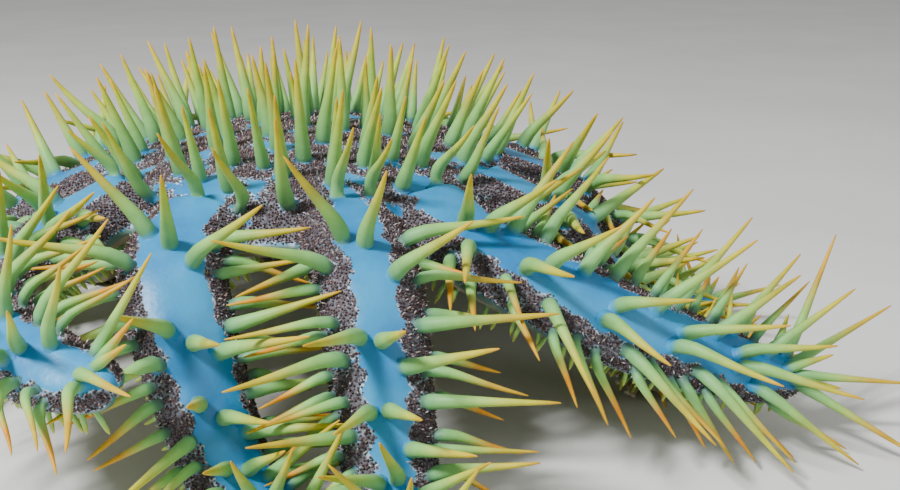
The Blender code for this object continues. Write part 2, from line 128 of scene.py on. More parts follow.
# Each row of spines along an arm: its place across the back from -1 to 1, its first spine and
# the step between spines along the arm, a spine's length, how many degrees it leans sideways
# from upright and forward to the arm's end, its thickness and how orange it is
Row = namedtuple("Row", "place first pitch length lean forward thick orange")
ROWS = (
    Row(0.00, 0.012, 0.0200, 0.028, 2, 10, 1.0, 0.0),
    Row(-0.41, 0.007, 0.0215, 0.031, -32, 4, 1.0, 0.1),
    Row(0.41, 0.017, 0.0215, 0.031, 32, 4, 1.0, 0.1),
    Row(-0.76, 0.015, 0.0205, 0.035, -66, 6, 0.93, 0.2),
    Row(0.76, 0.008, 0.0205, 0.035, 66, 6, 0.93, 0.2),
    Row(-0.94, 0.011, 0.0320, 0.025, -96, 8, 0.8, 0.8),
    Row(0.94, 0.024, 0.0320, 0.025, 96, 8, 0.8, 0.8),
)
FINER_ROWS = (
    Row(-0.80, 0.025, 0.0205, 0.028, -78, 6, 0.70, 0.55),
    Row(0.80, 0.018, 0.0205, 0.028, 78, 6, 0.70, 0.55),
    Row(-0.96, 0.017, 0.0110, 0.023, -104, 8, 0.70, 1.0),
    Row(0.96, 0.012, 0.0110, 0.023, 104, 8, 0.70, 1.0),
)
END_FAN = (-58, -20, 20, 58)
END_SPINE_LENGTH = 0.0346
MOST_FORWARD = 50
ROW_SHIFT = 0.0015
ROW_END = 0.006
FAN_PLACE = 0.0035
GAP_TRIES = 60
DISC_SPINES = 58
FINER_DISC_SPINES = 46
DISC_SPINE_REACH = 0.066
DISC_SPINE_LENGTH = 0.0315
DISC_SPINE_LEAN = 0.22
GOLDEN_ANGLE = math.pi * (3 - math.sqrt(5))
SPINE_RADIUS = 0.0023
SPINE_GAP = 0.0007
FLOOR_GAP = 0.0022
SHORTEST_SPINE = 0.008
LOWEST_TIP = FLOOR_GAP - 0.0005
TAPER_FROM = 0.72
SKIN_REACH = 0.008
LONGEST_MOVE = 0.004
COMB_ROUNDS = 90
TRIM_ROUNDS = 40
TRIM = 0.92
CLEAR_SHARES = (0.36, 0.5, 0.65, 0.8, 0.9, 1.0)
SNAP_REACH = 0.005
TIPS_APART = 0.002
ROOT_ROOM = 1.25

# A spine's shape: its radius, as a share of its full one, at shares of its length, how far it
# bows out on its way to the tip and where, how its bow and length give way where it meets
# another, and the skirt where the skin runs up into it
SPINE_SHARES = (0.0, 0.12, 0.25, 0.5, 0.75, 0.9, 0.97, 1.0)
SPINE_WIDTHS = (1.14, 1.09, 0.91, 0.65, 0.42, 0.28, 0.19, 0.10)
SPINE_BOW = 0.16
SPINE_WANDER = 0.018
SPINE_BOW_PLACE = 0.22
BOW_STEPS = 34
BOW_GAP = 0.0003
BOW_EASE = 0.7
EASE_ROUNDS = 9
SHORTEN_ROUNDS = 12
SHORTEN = 0.94
LOW_SHARE = 0.12
NEAR_ROOM = 0.006
STAY_CLOSE = 0.012
PAIRS_AT_ONCE = 2000
ROOT_SINK = 0.001
SKIRT_REACH = 0.0014
SKIRT_ON_BLUE = 1.7
SKIRT_SINK = 0.00018
SKIRT_STEPS = (0.3, 0.55, 0.8)
RISE_LENGTH = 0.0024

# The arm's blue band, as a share of the half width, broader on two arms and towards every
# arm's end, the height where the patches give way to the margin, as a share of the arm's, the
# waves and lumps of the patches' edges, and the blue room that they leave round each spine
BLUE_BAND = 0.42
BROAD_BAND = 0.62
BROAD_ARMS = ("arm_02", "arm_13")
END_BAND = 0.30
PATCH_FLOOR = 0.38
PATCH_EDGE = 0.003
UNDER_EDGE = 0.008
INNER_FADE = 0.004
SCALLOP = 0.0008
SCALLOP_PITCH = 0.0083
SCALLOP_GRAIN = 0.0006
SLOW_LUMPS = 0.007
QUICK_LUMPS = 0.0026
ISLAND_SIZE = 0.0095
ISLAND_RISE = 0.0040
ISLAND_SHARE = 0.34
ISLAND_GRAIN = 0.0010
RIDGE_WAVE = 0.0030
RIDGE_GRAIN = 0.0012
CLEAR_ON_DISC = 0.0032
CLEAR_ON_ARM = 0.0026

# The tube feet of an arm that is lifted this high are tucked in to a share of their length, and
# the short spines across the underside: their place, their least and greatest length, the height
# above the ground that they need and how far under the disc they begin
HIGH_LIFT = 0.03
TUCKED = 0.35
ORAL_PLACE = 0.60
ORAL_LENGTH = (0.006, 0.009)
ORAL_ROOM = 0.011
ORAL_FROM = -0.02

# The tube feet and the short spines beside them: how far under the disc they begin, how far
# short of the arm's end they stop, their places across the underside, the spines' sizes and the
# height above the ground that they need, and each ring's place and width, as shares
FEET_FROM = -0.052
FEET_END = 0.003
FEET_PLACE = 0.12
GUARD_PLACE = 0.36
GUARD_LENGTH = (0.0035, 0.005)
GUARD_ROOM = 0.006
GUARD_RADIUS = 0.0007
PEG_SINK = 0.0005
FOOT_PROFILE = ((-0.15, 1.0), (0.3, 0.85), (0.84, 0.7), (0.9, 1.25), (0.97, 1.35), (1.0, 1.1))
GUARD_PROFILE = ((-0.2, 1.0), (0.5, 1.05), (0.85, 0.9), (1.0, 0.5))

# The jaws round the mouth: each one's turn and distance from the middle, and its shape
JAW_PLACES = ((0.0, 0.0068), (0.10, 0.0082), (-0.10, 0.0082))
JAW_LENGTH = 0.0045
JAW_RADIUS = 0.0010
JAW_PROFILE = ((-0.3, 1.0), (0.0, 1.0), (0.5, 1.0), (0.85, 0.75), (1.0, 0.35))

# Papulae and pincers: how deep in a patch they begin and stand close, their rings as above,
# and the tones of the root, of the tip and of some others
TUFT_SIDES = 4
PAPULA_MASK = (0.36, 0.55)
PINCER_MASK = (0.4, 0.6)
PAPULA_PROFILE = ((-0.15, 1.2), (0.6, 0.95))
PAPULA_TONES = ((0.026, 0.015, 0.020), (0.070, 0.038, 0.042), (0.15, 0.090, 0.092))
PINCER_PROFILE = ((-0.2, 0.8), (0.8, 1.1))
PINCER_TONES = ((0.20, 0.16, 0.17), (0.55, 0.52, 0.52), (0.34, 0.26, 0.20))

# How light passes into soft surfaces, and the deeper tones of the underside and the spines
SOFT_RADIUS = (1.0, 0.7, 0.5)
SOFT_DEPTH = 0.002
BELLY_DEEP = (0.16, 0.13, 0.09)
SPINE_SHADE = (0.70, 0.76, 0.72)

# Where the camera looks, from the disc's centre, and each light's name, place and size
CAMERA_TARGET = (0.049, -0.080, 0.067)
LIGHTS = (("key", (-0.50, -0.52, 0.85), 0.16), ("fill", (1.0, -0.7, 1.0), 0.9))
FLOOR_SIZE = 14
FLOOR_DEEP = (0.72, 0.72, 0.71)
SENSOR_WIDTH = 36

# The widths of the tufts' patches on the OFBake map, and how far a tuft's point stands past
# its last ring, as a share of its last step
OFBAKE_PATCH = 0.003
END_POINT_SHARE = 0.6

# The arms whose spines, papulae and pincers share a mesh
GROUPS = {
    "disc": ("disc",),
    "front": ("arm_01", "arm_02", "arm_12", "arm_13"),
    "right": ("arm_03", "arm_04", "arm_05"),
    "back": ("arm_06", "arm_07", "arm_08"),
    "left": ("arm_09", "arm_10", "arm_11"),
}

Spine = namedtuple("Spine", "node root tip radius orange")

made = {}


def smooth(t):
    """A step from 0 to 1 that starts and ends level."""
    t = np.clip(t, 0.0, 1.0)
    return t * t * (3 - 2 * t)


def unit(v):
    """Vectors of length 1, along the last axis."""
    v = np.asarray(v, float)
    return v / np.maximum(np.linalg.norm(v, axis=-1, keepdims=True), 1e-12)


def outward(angle):
    """The level direction at an angle from the front towards +X."""
    return np.array([math.sin(angle), -math.cos(angle), 0.0])


class ArmPath:
    """The line along an arm's underside, with the arm's own directions at each point."""

    def __init__(self, arm):
        self.arm = arm
        self.length = arm.length
        low, high = LEAST_SLOPE, MOST_SLOPE
        for _ in range(SLOPE_ROUNDS):
            middle = (low + high) / 2
            self._walk(middle)
            if self._lowest() > arm.lift:
                low = middle
            else:
                high = middle

    def _walk(self, steepest):
        """Step along the arm as it turns down at its root and levels out again."""
        arm = self.arm
        s = np.linspace(0, arm.length, PATH_STEPS)
        head = math.radians(arm.azimuth) + math.radians(arm.bend) * (1 - np.exp(-s / arm.turn))
        turn_down = smooth(s / (0.30 * arm.hang))
        level_out = 1 - smooth((s / arm.hang - 0.55) / 0.45)
        start = ROOT_SLOPE * (1 - smooth(s / (0.35 * arm.hang)))
        curl = smooth((s - arm.length + TIP_CURL_LENGTH) / TIP_CURL_LENGTH)
        slope = np.maximum(start, steepest * turn_down * level_out) - TIP_CURL * curl
        head_between = (head[1:] + head[:-1]) / 2
        slope_between = (slope[1:] + slope[:-1]) / 2
        level = np.cos(slope_between)
        moves = [np.sin(head_between) * level, -np.cos(head_between) * level, -np.sin(slope_between)]
        first = DISC_CENTRE + outward(head[0]) * DISC_RADIUS + np.array([0, 0, RIM_UNDER])
        self.s = s
        self.head = head
        self.slope = slope
        self.points = np.vstack(([first], first + np.cumsum(s[1] * np.stack(moves, 1), axis=0)))

    def _lowest(self):
        foot = min(self.arm.hang, self.length - TIP_CURL_LENGTH)
        return np.interp(foot, self.s, self.points[:, 2])

    def at(self, s):
        """(point, sideways, upright, onward) at length s, an array or not, and below 0 too."""
        s = np.asarray(s, float)
        point = np.stack([np.interp(s, self.s, self.points[:, i]) for i in range(3)], -1)
        head = np.interp(s, self.s, self.head)
        slope = np.interp(s, self.s, self.slope)
        roll = (math.radians(self.arm.roll) * smooth(s / ROLL_LENGTH))[..., None]
        nought = np.zeros_like(head)
        ahead = np.stack([np.sin(head), -np.cos(head), nought], -1)
        level = np.stack([np.cos(head), np.sin(head), nought], -1)
        up = np.stack([nought, nought, nought + 1], -1)
        high = ahead * np.sin(slope)[..., None] + up * np.cos(slope)[..., None]
        sideways = level * np.cos(roll) + high * np.sin(roll)
        upright = high * np.cos(roll) - level * np.sin(roll)
        onward = ahead * np.cos(slope)[..., None] - up * np.sin(slope)[..., None]
        return point + onward * np.minimum(s, 0)[..., None], sideways, upright, onward

    def size_at(self, s):
        """(half width, height) of the arm at length s."""
        t = np.clip(np.asarray(s) / self.length, 0, 1)
        taper = 1 - ARM_TAPER * t
        return ARM_WIDTH / 2 * taper * np.sqrt(1 - 0.7 * t**8), ARM_HEIGHT * taper * (1 - 0.3 * t**8)

    def on_back(self, s, place):
        """The point on the back at length s, at a place from -1 to 1 across it."""
        point, sideways, upright, _ = self.at(s)
        half, height = self.size_at(s)
        return point + sideways * half * place + upright * height * back_height(place)


def back_height(x):
    """The height of an arm's back across it, as a share of its full height."""
    return EDGE_HEIGHT + (1 - EDGE_HEIGHT) * np.sqrt(np.clip(1 - np.abs(x) ** 2.6, 0, 1))


def belly_height(x):
    """The height of an arm's underside across it, with the groove of the tube feet."""
    x = np.abs(x)
    groove = GROOVE_ROOF * np.clip(1 - (x / GROOVE_EDGE) ** 2, 0, 1) ** 0.7
    round_edge = np.clip((x - BELLY_EDGE) / (1 - BELLY_EDGE), 0, 1)
    return groove + EDGE_HEIGHT * (1 - np.sqrt(1 - round_edge**2))


def dome_height(share):
    """The height of the disc's top at a share of the way out to its rim."""
    rim_top = RIM_UNDER + ARM_HEIGHT * math.cos(ROOT_SLOPE)
    return rim_top + DOME_RISE * (1 - share**2)


def over_disc(out, reach, height):
    """The point a distance outwards from the disc's centre, at a height."""
    return DISC_CENTRE + out * reach + np.array([0, 0, height])


def level_place(points):
    """Points as seen from above, from the disc's centre."""
    return points[:, :2] - DISC_CENTRE[:2]


def hollow_height(share):
    """The height of the disc's underside, which arches up to the mouth."""
    centre = dome_height(0) - DISC_THICKNESS
    return centre + (RIM_UNDER - centre) * share**2


def mesh_from_arrays(name, points, loops, starts):
    """A mesh from its points, the point of each corner, and each face's first corner."""
    mesh = bpy.data.meshes.new(name)
    mesh.vertices.add(len(points))
    mesh.vertices.foreach_set("co", np.asarray(points, np.float32).ravel())
    mesh.loops.add(len(loops))
    mesh.loops.foreach_set("vertex_index", np.asarray(loops, np.int32))
    mesh.polygons.add(len(starts))
    mesh.polygons.foreach_set("loop_start", np.asarray(starts, np.int32))
    mesh.update(calc_edges=True)
    mesh.validate()
    mesh.shade_smooth()
    return mesh


def place_piece(name, mesh, slot, *nodes):
    """Put a piece in the scene, on the part's one body, standing for the given nodes."""
    piece = bpy.data.objects.new(name, mesh)
    bpy.context.scene.collection.objects.link(piece)
    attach(piece, "root")
    if nodes:
        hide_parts(*nodes)
    return piece


def ring_faces(rings, count, first=0):
    """Quads that join rings of points into a tube, and the two end caps."""
    faces = []
    for k in range(rings - 1):
        for i in range(count):
            a, b = first + k * count + i, first + k * count + (i + 1) % count
            faces.append((a, b, b + count, a + count))
    last = first + (rings - 1) * count
    faces.append(tuple(first + i for i in reversed(range(count))))
    faces.append(tuple(last + i for i in range(count)))
    return faces


def ringed_mesh(name, rings, tips, bases, cells, cell_size):
    """Many closed pieces in one mesh, each a stack of rings with a point at either end.

    rings is pieces by rings by sides by 3, and tips and bases are pieces by 3, or bases is None
    where the pieces are open under the skin. cells is each piece's corner on the OFBake map.
    """
    pieces, count, sides, _ = rings.shape
    ends = tips[:, None] if bases is None else np.stack([tips, bases], axis=1)
    points = np.concatenate([rings.reshape(pieces, count * sides, 3), ends], axis=1)
    points[..., 2] = np.maximum(points[..., 2], 0)
    loops, uvs = [], []
    for k in range(count - 1):
        low, high = 0.05 + 0.9 * k / count, 0.05 + 0.9 * (k + 1) / count
        for i in range(sides):
            j = (i + 1) % sides
            loops += [k * sides + i, k * sides + j, (k + 1) * sides + j, (k + 1) * sides + i]
            uvs += [(i / sides, low), ((i + 1) / sides, low), ((i + 1) / sides, high), (i / sides, high)]
    quads = (count - 1) * sides
    tip, base, last = count * sides, count * sides + 1, (count - 1) * sides
    for i in range(sides):
        j = (i + 1) % sides
        loops += [last + i, last + j, tip]
        uvs += [(i / sides, 0.95), ((i + 1) / sides, 0.95), ((i + 0.5) / sides, 1)]
        if bases is not None:
            loops += [j, i, base]
            uvs += [((i + 1) / sides, 0.05), (i / sides, 0.05), ((i + 0.5) / sides, 0)]
    starts = np.concatenate([np.arange(quads) * 4, quads * 4 + np.arange(ends.shape[1] * sides) * 3])
    loops, uvs = np.array(loops), np.array(uvs)
    all_loops = (loops[None] + np.arange(pieces)[:, None] * points.shape[1]).ravel()
    all_starts = (starts[None] + np.arange(pieces)[:, None] * len(loops)).ravel()
    mesh = mesh_from_arrays(name, points.reshape(-1, 3), all_loops, all_starts)
    spread = (cells[:, None, :] + uvs[None] * cell_size).reshape(-1, 2)
    mesh.uv_layers.new(name="OFBake").data.foreach_set("uv", spread.astype(np.float32).ravel())
    return mesh


def directions_round(across, along, sides):
    """Directions in a ring round each piece: pieces by sides by 3."""
    turn = 2 * np.pi * np.arange(sides) / sides
    return across[:, None, :] * np.cos(turn)[:, None] + along[:, None, :] * np.sin(turn)[:, None]


def circles(centres, across, along, radii, sides):
    """Rings of points about the centres: pieces by rings by sides by 3."""
    circle = directions_round(across, along, sides)
    return centres[:, :, None, :] + circle[:, None, :, :] * radii[:, :, None, None]


def straight_tubes(roots, aims, lengths, radii, profile, sides):
    """Straight pieces with the given rings: (rings, tips, bases)."""
    shares, widths = np.array(profile).T
    across, along = across_and_along(aims)
    centres = roots[:, None] + aims[:, None] * (shares[None, :, None] * lengths[:, None, None])
    rings = circles(centres, across, along, radii[:, None] * widths[None], sides)
    tips = centres[:, -1] + (centres[:, -1] - centres[:, -2]) * END_POINT_SHARE
    return rings, tips, centres[:, 0] - (centres[:, 1] - centres[:, 0]) * END_POINT_SHARE


def set_attribute(mesh, name, values):
    """A number for each point of a mesh, which the materials read."""
    layer = mesh.attributes.new(name, "FLOAT", "POINT")
    layer.data.foreach_set("value", np.asarray(values, np.float32).ravel())


def per_ring(values, sides, ends):
    """A value for each ring of each piece, spread over all of its points."""
    capped = values[:, [-1, 0][:ends]]
    return np.concatenate([np.repeat(values, sides, axis=1), capped], axis=1).ravel()


def per_piece(values, rings, sides, ends):
    """One value for each piece, spread over all of its points."""
    return np.repeat(np.asarray(values, float), rings * sides + ends)


def place_tubes(name, slot, finish, shape, by_ring, by_piece, *nodes):
    """Many closed pieces as one mesh, with the values its material reads, put in the scene."""
    mesh = ringed_mesh(name, *shape)
    _, rings, sides, _ = shape[0].shape
    ends = 1 if shape[2] is None else 2
    for attribute, values in by_ring.items():
        set_attribute(mesh, attribute, per_ring(values, sides, ends))
    for attribute, values in by_piece.items():
        set_attribute(mesh, attribute, per_piece(values, rings, sides, ends))
    mesh.materials.append(finish)
    return place_piece(name, mesh, slot, *nodes)


def across_and_along(aims):
    """Two directions at right angles to each aim and to each other."""
    reference = np.where(np.abs(aims[:, 2:]) < 0.9, [[0.0, 0.0, 1.0]], [[1.0, 0.0, 0.0]])
    across = unit(np.cross(aims, reference))
    return across, np.cross(aims, across)


def rows_of_spines(path, rows, rng):
    """The spines of one arm, row by row."""
    spines = []
    for row in rows:
        s = row.first + ROW_SHIFT * rng.uniform(-1, 1)
        while s < path.length - ROW_END:
            t = s / path.length
            place = row.place + rng.uniform(-0.02, 0.02)
            _, sideways, upright, onward = path.at(s)
            lean = math.radians(row.lean + rng.uniform(-7, 7))
            sweep = path.arm.sweep * (1 - row.place) / 2
            forward = row.forward + path.arm.gain * t + sweep + rng.uniform(-8, 8)
            onward = onward * math.tan(math.radians(min(forward, MOST_FORWARD)))
            aim = unit(upright * math.cos(lean) + sideways * math.sin(lean) + onward)
            root = path.on_back(s, place)
            tip = root + aim * row.length * (1 + path.arm.grow * t**2) * rng.uniform(0.90, 1.10)
            radius = SPINE_RADIUS * (1 - 0.25 * t) * row.thick
            spines.append(Spine(path.arm.name, root, tip, radius, row.orange))
            s += row.pitch * rng.uniform(0.92, 1.08)
    return spines


def end_fan(path, rng):
    """The spines that spread from an arm's end."""
    spines = []
    end = path.length - FAN_PLACE
    _, sideways, upright, onward = path.at(end)
    for turn in END_FAN:
        angle = math.radians(turn + rng.uniform(-6, 6))
        aim = unit(onward * math.cos(angle) + sideways * math.sin(angle) + upright * 0.35)
        root = path.on_back(end, 0.7 * math.sin(angle))
        tip = root + aim * END_SPINE_LENGTH * (1 + path.arm.grow) * rng.uniform(0.9, 1.1)
        spines.append(Spine(path.arm.name, root, tip, SPINE_RADIUS * 0.7, 0.7))
    return spines


def disc_spines(rng):
    """The spines of the disc, spread evenly over the dome."""
    spines = []
    for i in range(DISC_SPINES):
        reach = DISC_SPINE_REACH * math.sqrt((i + 0.5) / DISC_SPINES)
        out = outward(i * GOLDEN_ANGLE + rng.uniform(-0.05, 0.05))
        spines.append(disc_spine(out, reach, rng, 1.0))
    return spines


def finer_disc_spines(rng, spines):
    """More spines for the disc, each in the widest gap left among the others."""
    roots = [spine.root for spine in spines]
    found = []
    for _ in range(FINER_DISC_SPINES):
        tries = []
        for _ in range(GAP_TRIES):
            reach = DISC_SPINE_REACH * math.sqrt(rng.uniform(0, 1.05))
            out = outward(rng.uniform(0, 2 * math.pi))
            root = over_disc(out, reach, dome_height(reach / DISC_RADIUS))
            room = min(np.linalg.norm(root - other) for other in roots)
            tries.append((room, reach, tuple(out)))
        _, reach, out = max(tries)
        spine = disc_spine(np.array(out), reach, rng, 0.85)
        roots.append(spine.root)
        found.append(spine)
    return found


def disc_spine(out, reach, rng, size):
    """One spine of the disc, leaning outwards more towards the rim."""
    fall = 2 * DOME_RISE * reach / DISC_RADIUS**2
    lean = DISC_SPINE_LEAN * (reach / DISC_SPINE_REACH) ** 2
    jitter = np.array([rng.uniform(-0.13, 0.13), rng.uniform(-0.13, 0.13), 0])
    aim = unit(out * (fall + lean) + np.array([0, 0, 1.0]) + jitter)
    root = over_disc(out, reach, dome_height(reach / DISC_RADIUS))
    tip = root + aim * DISC_SPINE_LENGTH * size * rng.uniform(0.82, 1.10)
    return Spine("disc", root, tip, SPINE_RADIUS * size, 0.0)


def width_at(radius, share):
    """A spine's radius at a share of its length, for keeping spines apart."""
    return radius * np.clip((1 - share) / TAPER_FROM, 0, 1)


def close_pairs(i, j, roots, tips, radii):
    """Where the pairs i, j come too close: (i, j, share on i, share on j, push, shortfall)."""
    u, v, w = tips[i] - roots[i], tips[j] - roots[j], roots[i] - roots[j]
    a, b, c = (u * u).sum(1), (u * v).sum(1), (v * v).sum(1)
    d, e = (u * w).sum(1), (v * w).sum(1)
    s = np.clip((b * e - c * d) / np.maximum(a * c - b * b, 1e-14), 0, 1)
    t = np.clip((b * s + e) / c, 0, 1)
    s = np.clip((b * t - d) / a, 0, 1)
    gap = w + u * s[:, None] - v * t[:, None]
    distance = np.linalg.norm(gap, axis=1)
    need = width_at(radii[i], s) + width_at(radii[j], t) + SPINE_GAP - distance
    near = (need > 0) & ~((s < LOW_SHARE) & (t < LOW_SHARE))
    push = gap / np.maximum(distance, 1e-7)[:, None]
    return i[near], j[near], s[near], t[near], push[near], need[near]


def close_to_skin(roots, tips, radii, skin):
    """Spines that come too close to the skin past their roots: (i, share, push, shortfall)."""
    found = []
    for share in CLEAR_SHARES:
        points = roots + (tips - roots) * share
        widths = width_at(radii, share) + SPINE_GAP
        for i, (point, width) in enumerate(zip(points, widths)):
            place, normal, _, distance = skin.find_nearest(Vector(point), SKIN_REACH)
            if place is None:
                continue
            inside = (Vector(point) - place).dot(normal) < 0
            need = width + distance if inside else width - distance
            if need > 0:
                found.append((i, share, np.array(normal), need))
    return found


def comb(spines, skin, fixed=0):
    """Turn the spines until each is clear of the rest, of the skin and of the ground.

    The first ones, as many as fixed says, stay as they are.
    """
    free = (np.arange(len(spines)) >= fixed)[:, None]
    roots = np.array([spine.root for spine in spines])
    tips = np.array([spine.tip for spine in spines])
    radii = np.array([spine.radius for spine in spines])
    length = np.linalg.norm(tips - roots, axis=1)
    apart = np.linalg.norm(roots[:, None] - roots[None], axis=2)
    first, second = np.nonzero(np.triu(apart < length[:, None] + length[None] + NEAR_ROOM, 1))
    for _ in range(COMB_ROUNDS):
        moved = np.zeros_like(tips)
        i, j, s, t, push, need = close_pairs(first, second, roots, tips, radii)
        lever = (need / (s * s + t * t + 0.05))[:, None]
        np.add.at(moved, i, push * s[:, None] * lever)
        np.add.at(moved, j, -push * t[:, None] * lever)
        for k, share, normal, short in close_to_skin(roots, tips, radii, skin):
            moved[k] += normal * short / share
        moved[:, 2] += np.maximum(FLOOR_GAP - tips[:, 2], 0)
        aims = tips + np.clip(moved, -LONGEST_MOVE, LONGEST_MOVE) * free - roots
        tips = roots + aims * (length / np.linalg.norm(aims, axis=1))[:, None]
    for _ in range(TRIM_ROUNDS):
        shorter = np.ones(len(spines))
        i, j, s, t, _, _ = close_pairs(first, second, roots, tips, radii)
        shorter[np.where(s > t, i, j)] = TRIM
        shorter[tips[:, 2] < LOWEST_TIP] = TRIM
        shorter[:fixed] = 1
        if shorter.min() == 1:
            break
        tips = roots + (tips - roots) * shorter[:, None]
    long_enough = np.linalg.norm(tips - roots, axis=1) > SHORTEST_SPINE
    return [spine._replace(tip=tip) for spine, tip, keep in zip(spines, tips, long_enough) if keep]


def tree_of_points(points):
    """A search tree of points."""
    tree = KDTree(len(points))
    for k, point in enumerate(points):
        tree.insert(point, k)
    tree.balance()
    return tree


def snap_to_solids(spines):
    """The spines whose tips move onto near tips of the frame's own, and those that find none."""
    trees = {}
    for name in {spine.node for spine in spines}:
        trees[name] = tree_of_points([vertex.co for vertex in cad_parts[name].data.vertices])
    nearest = [trees[spine.node].find(Vector(spine.tip)) for spine in spines]
    found, loose, taken = [], [], []
    for k in sorted(range(len(spines)), key=lambda k: nearest[k][2]):
        place, _, distance = nearest[k]
        if distance < SNAP_REACH and all((place - other).length > TIPS_APART for other in taken):
            found.append(spines[k]._replace(tip=np.array(place)))
            taken.append(place)
        else:
            loose.append(spines[k])
    return found, loose


def well_rooted(spines, fixed):
    """The spines without the finer ones whose roots stand in another's base."""
    kept = list(spines[:fixed])
    for spine in spines[fixed:]:
        away = np.linalg.norm([spine.root - other.root for other in kept], axis=1)
        room = ROOT_ROOM * (spine.radius + np.array([other.radius for other in kept]))
        if (away - room).min() > 0:
            kept.append(spine)
    return kept


def settle_spines():
    """All the spines in their settled places, first those of the solids and then the finer ones."""
    skin = made["tree"]
    spines = disc_spines(random.Random(5))
    for number, path in enumerate(made["paths"]):
        rng = random.Random(100 + number)
        spines += rows_of_spines(path, ROWS, rng)
        spines += end_fan(path, rng)
    settled, loose = snap_to_solids(comb(spines, skin))
    spines = comb(settled + loose, skin, len(settled))
    fixed = len(spines)
    spines += finer_disc_spines(random.Random(6), [spine for spine in spines if spine.node == "disc"])
    for number, path in enumerate(made["paths"]):
        spines += rows_of_spines(path, FINER_ROWS, random.Random(300 + number))
    return comb(well_rooted(spines, fixed), skin, fixed)


def arm_shell(path):
    """The points and faces of one arm's smooth body, from inside the disc to its round end."""
    back_x = np.sin(np.linspace(-math.pi / 2, math.pi / 2, BACK_POINTS))
    belly_x = np.concatenate([BELLY_PLACES, -np.array(BELLY_PLACES[-2::-1])])
    x = np.concatenate([back_x, belly_x])
    y = np.concatenate([back_height(back_x), belly_height(belly_x)])
    stations = np.linspace(-ARM_INSET, path.length, ARM_STATIONS)
    point, sideways, upright, onward = path.at(stations)
    half, height = path.size_at(stations)
    rings = point[:, None] + sideways[:, None] * (half[:, None] * x)[..., None]
    rings = rings + upright[:, None] * (height[:, None] * y)[..., None]
    middle = point[-1] + upright[-1] * height[-1] / 2
    caps = []
    for angle in np.radians(END_CAPS):
        inward = middle + (rings[-1] - middle) * math.cos(angle)
        caps.append(inward + onward[-1] * ARM_END_BULGE * math.sin(angle))
    rings = np.concatenate([rings, np.array(caps)])
    return rings.reshape(-1, 3), ring_faces(len(rings), len(x))


def turns_to_arms(angles):
    """For angles round the disc: how far each is turned from every arm's own."""
    off = angles[:, None] - np.radians([arm.azimuth for arm in ARMS])
    return np.abs((off + np.pi) % (2 * np.pi) - np.pi)


def disc_shell():
    """The points and faces of the disc's smooth body, with its grooves and mouth."""
    count = DISC_SIDES
    angles = 2 * np.pi * np.arange(count) / count
    to_arm = turns_to_arms(angles).min(1)
    rings = []
    shares = np.concatenate([np.linspace(0.02, 0.8, 34), np.linspace(0.82, 1, 14)])
    for share in shares:
        top = dome_height(share) - RIM_DROP * smooth((share - 0.8) / 0.2) ** 1.5
        rings.append((share, np.full(count, top)))
    for share in shares[-2::-1]:
        wide = DISC_RADIUS * share
        low = hollow_height(share) + LIP_RISE * smooth((share - 0.86) / 0.14)
        groove = GROOVE_DEPTH * np.exp(-((wide * to_arm / GROOVE_WIDTH) ** 2)) * smooth(wide / 0.02)
        mouth = MOUTH_DEPTH * math.exp(-((wide / MOUTH_RADIUS) ** 2))
        rings.append((share, low + groove + mouth))
    points = []
    for share, heights in rings:
        level = np.stack([np.sin(angles), -np.cos(angles), 0 * angles], 1) * DISC_RADIUS * share
        points.append(DISC_CENTRE + level + np.stack([0 * heights, 0 * heights, heights], 1))
    return np.concatenate(points), ring_faces(len(rings), count)


def relax(points, edges, rounds):
    """Smooth points along their edges without shrinking the shape."""
    count = np.bincount(edges.ravel(), minlength=len(points))[:, None]
    for step in RELAX_STEPS * rounds:
        total = np.zeros_like(points)
        for axis in range(3):
            values = points[:, axis]
            total[:, axis] += np.bincount(edges[:, 0], values[edges[:, 1]], len(points))
            total[:, axis] += np.bincount(edges[:, 1], values[edges[:, 0]], len(points))
        points = points + step * (total / count - points)
    return points


def skin_base(voxel):
    """The disc and arms as one closed mesh: (mesh, points)."""
    points, faces = disc_shell()
    shells = [(points, faces)] + [arm_shell(path) for path in made["paths"]]
    all_points, all_faces, offset = [], [], 0
    for points, faces in shells:
        all_points.append(points)
        all_faces += [tuple(offset + k for k in face) for face in faces]
        offset += len(points)
    mesh = bpy.data.meshes.new("shells")
    mesh.from_pydata(np.concatenate(all_points).tolist(), [], all_faces)
    shell = bpy.data.objects.new("shells", mesh)
    bpy.context.scene.collection.objects.link(shell)
    remesh = shell.modifiers.new("remesh", "REMESH")
    remesh.mode = "VOXEL"
    remesh.voxel_size = voxel
    graph = bpy.context.evaluated_depsgraph_get()
    skin = bpy.data.meshes.new_from_object(shell.evaluated_get(graph))
    bpy.data.objects.remove(shell)
    bpy.data.meshes.remove(mesh)
    points = np.zeros(len(skin.vertices) * 3)
    skin.vertices.foreach_get("co", points)
    edges = np.zeros(len(skin.edges) * 2, int)
    skin.edges.foreach_get("vertices", edges)
    return skin, relax(points.reshape(-1, 3), edges.reshape(-1, 2), RELAX_ROUNDS)


def raise_mounds(points, normals, spines, rise, spread):
    """Points raised gently round each spine's root."""
    tree = tree_of_points(points)
    lift = np.zeros(len(points))
    for spine in spines:
        near = tree.find_range(Vector(spine.root), spread * 2.2)
        place = np.array([k for _, k, _ in near], int)
        away = np.array([distance for _, _, distance in near])
        size = rise * spine.radius / SPINE_RADIUS
        lift[place] = np.maximum(lift[place], size * np.exp(-((away / spread) ** 2)))
    return points + normals * lift[:, None]


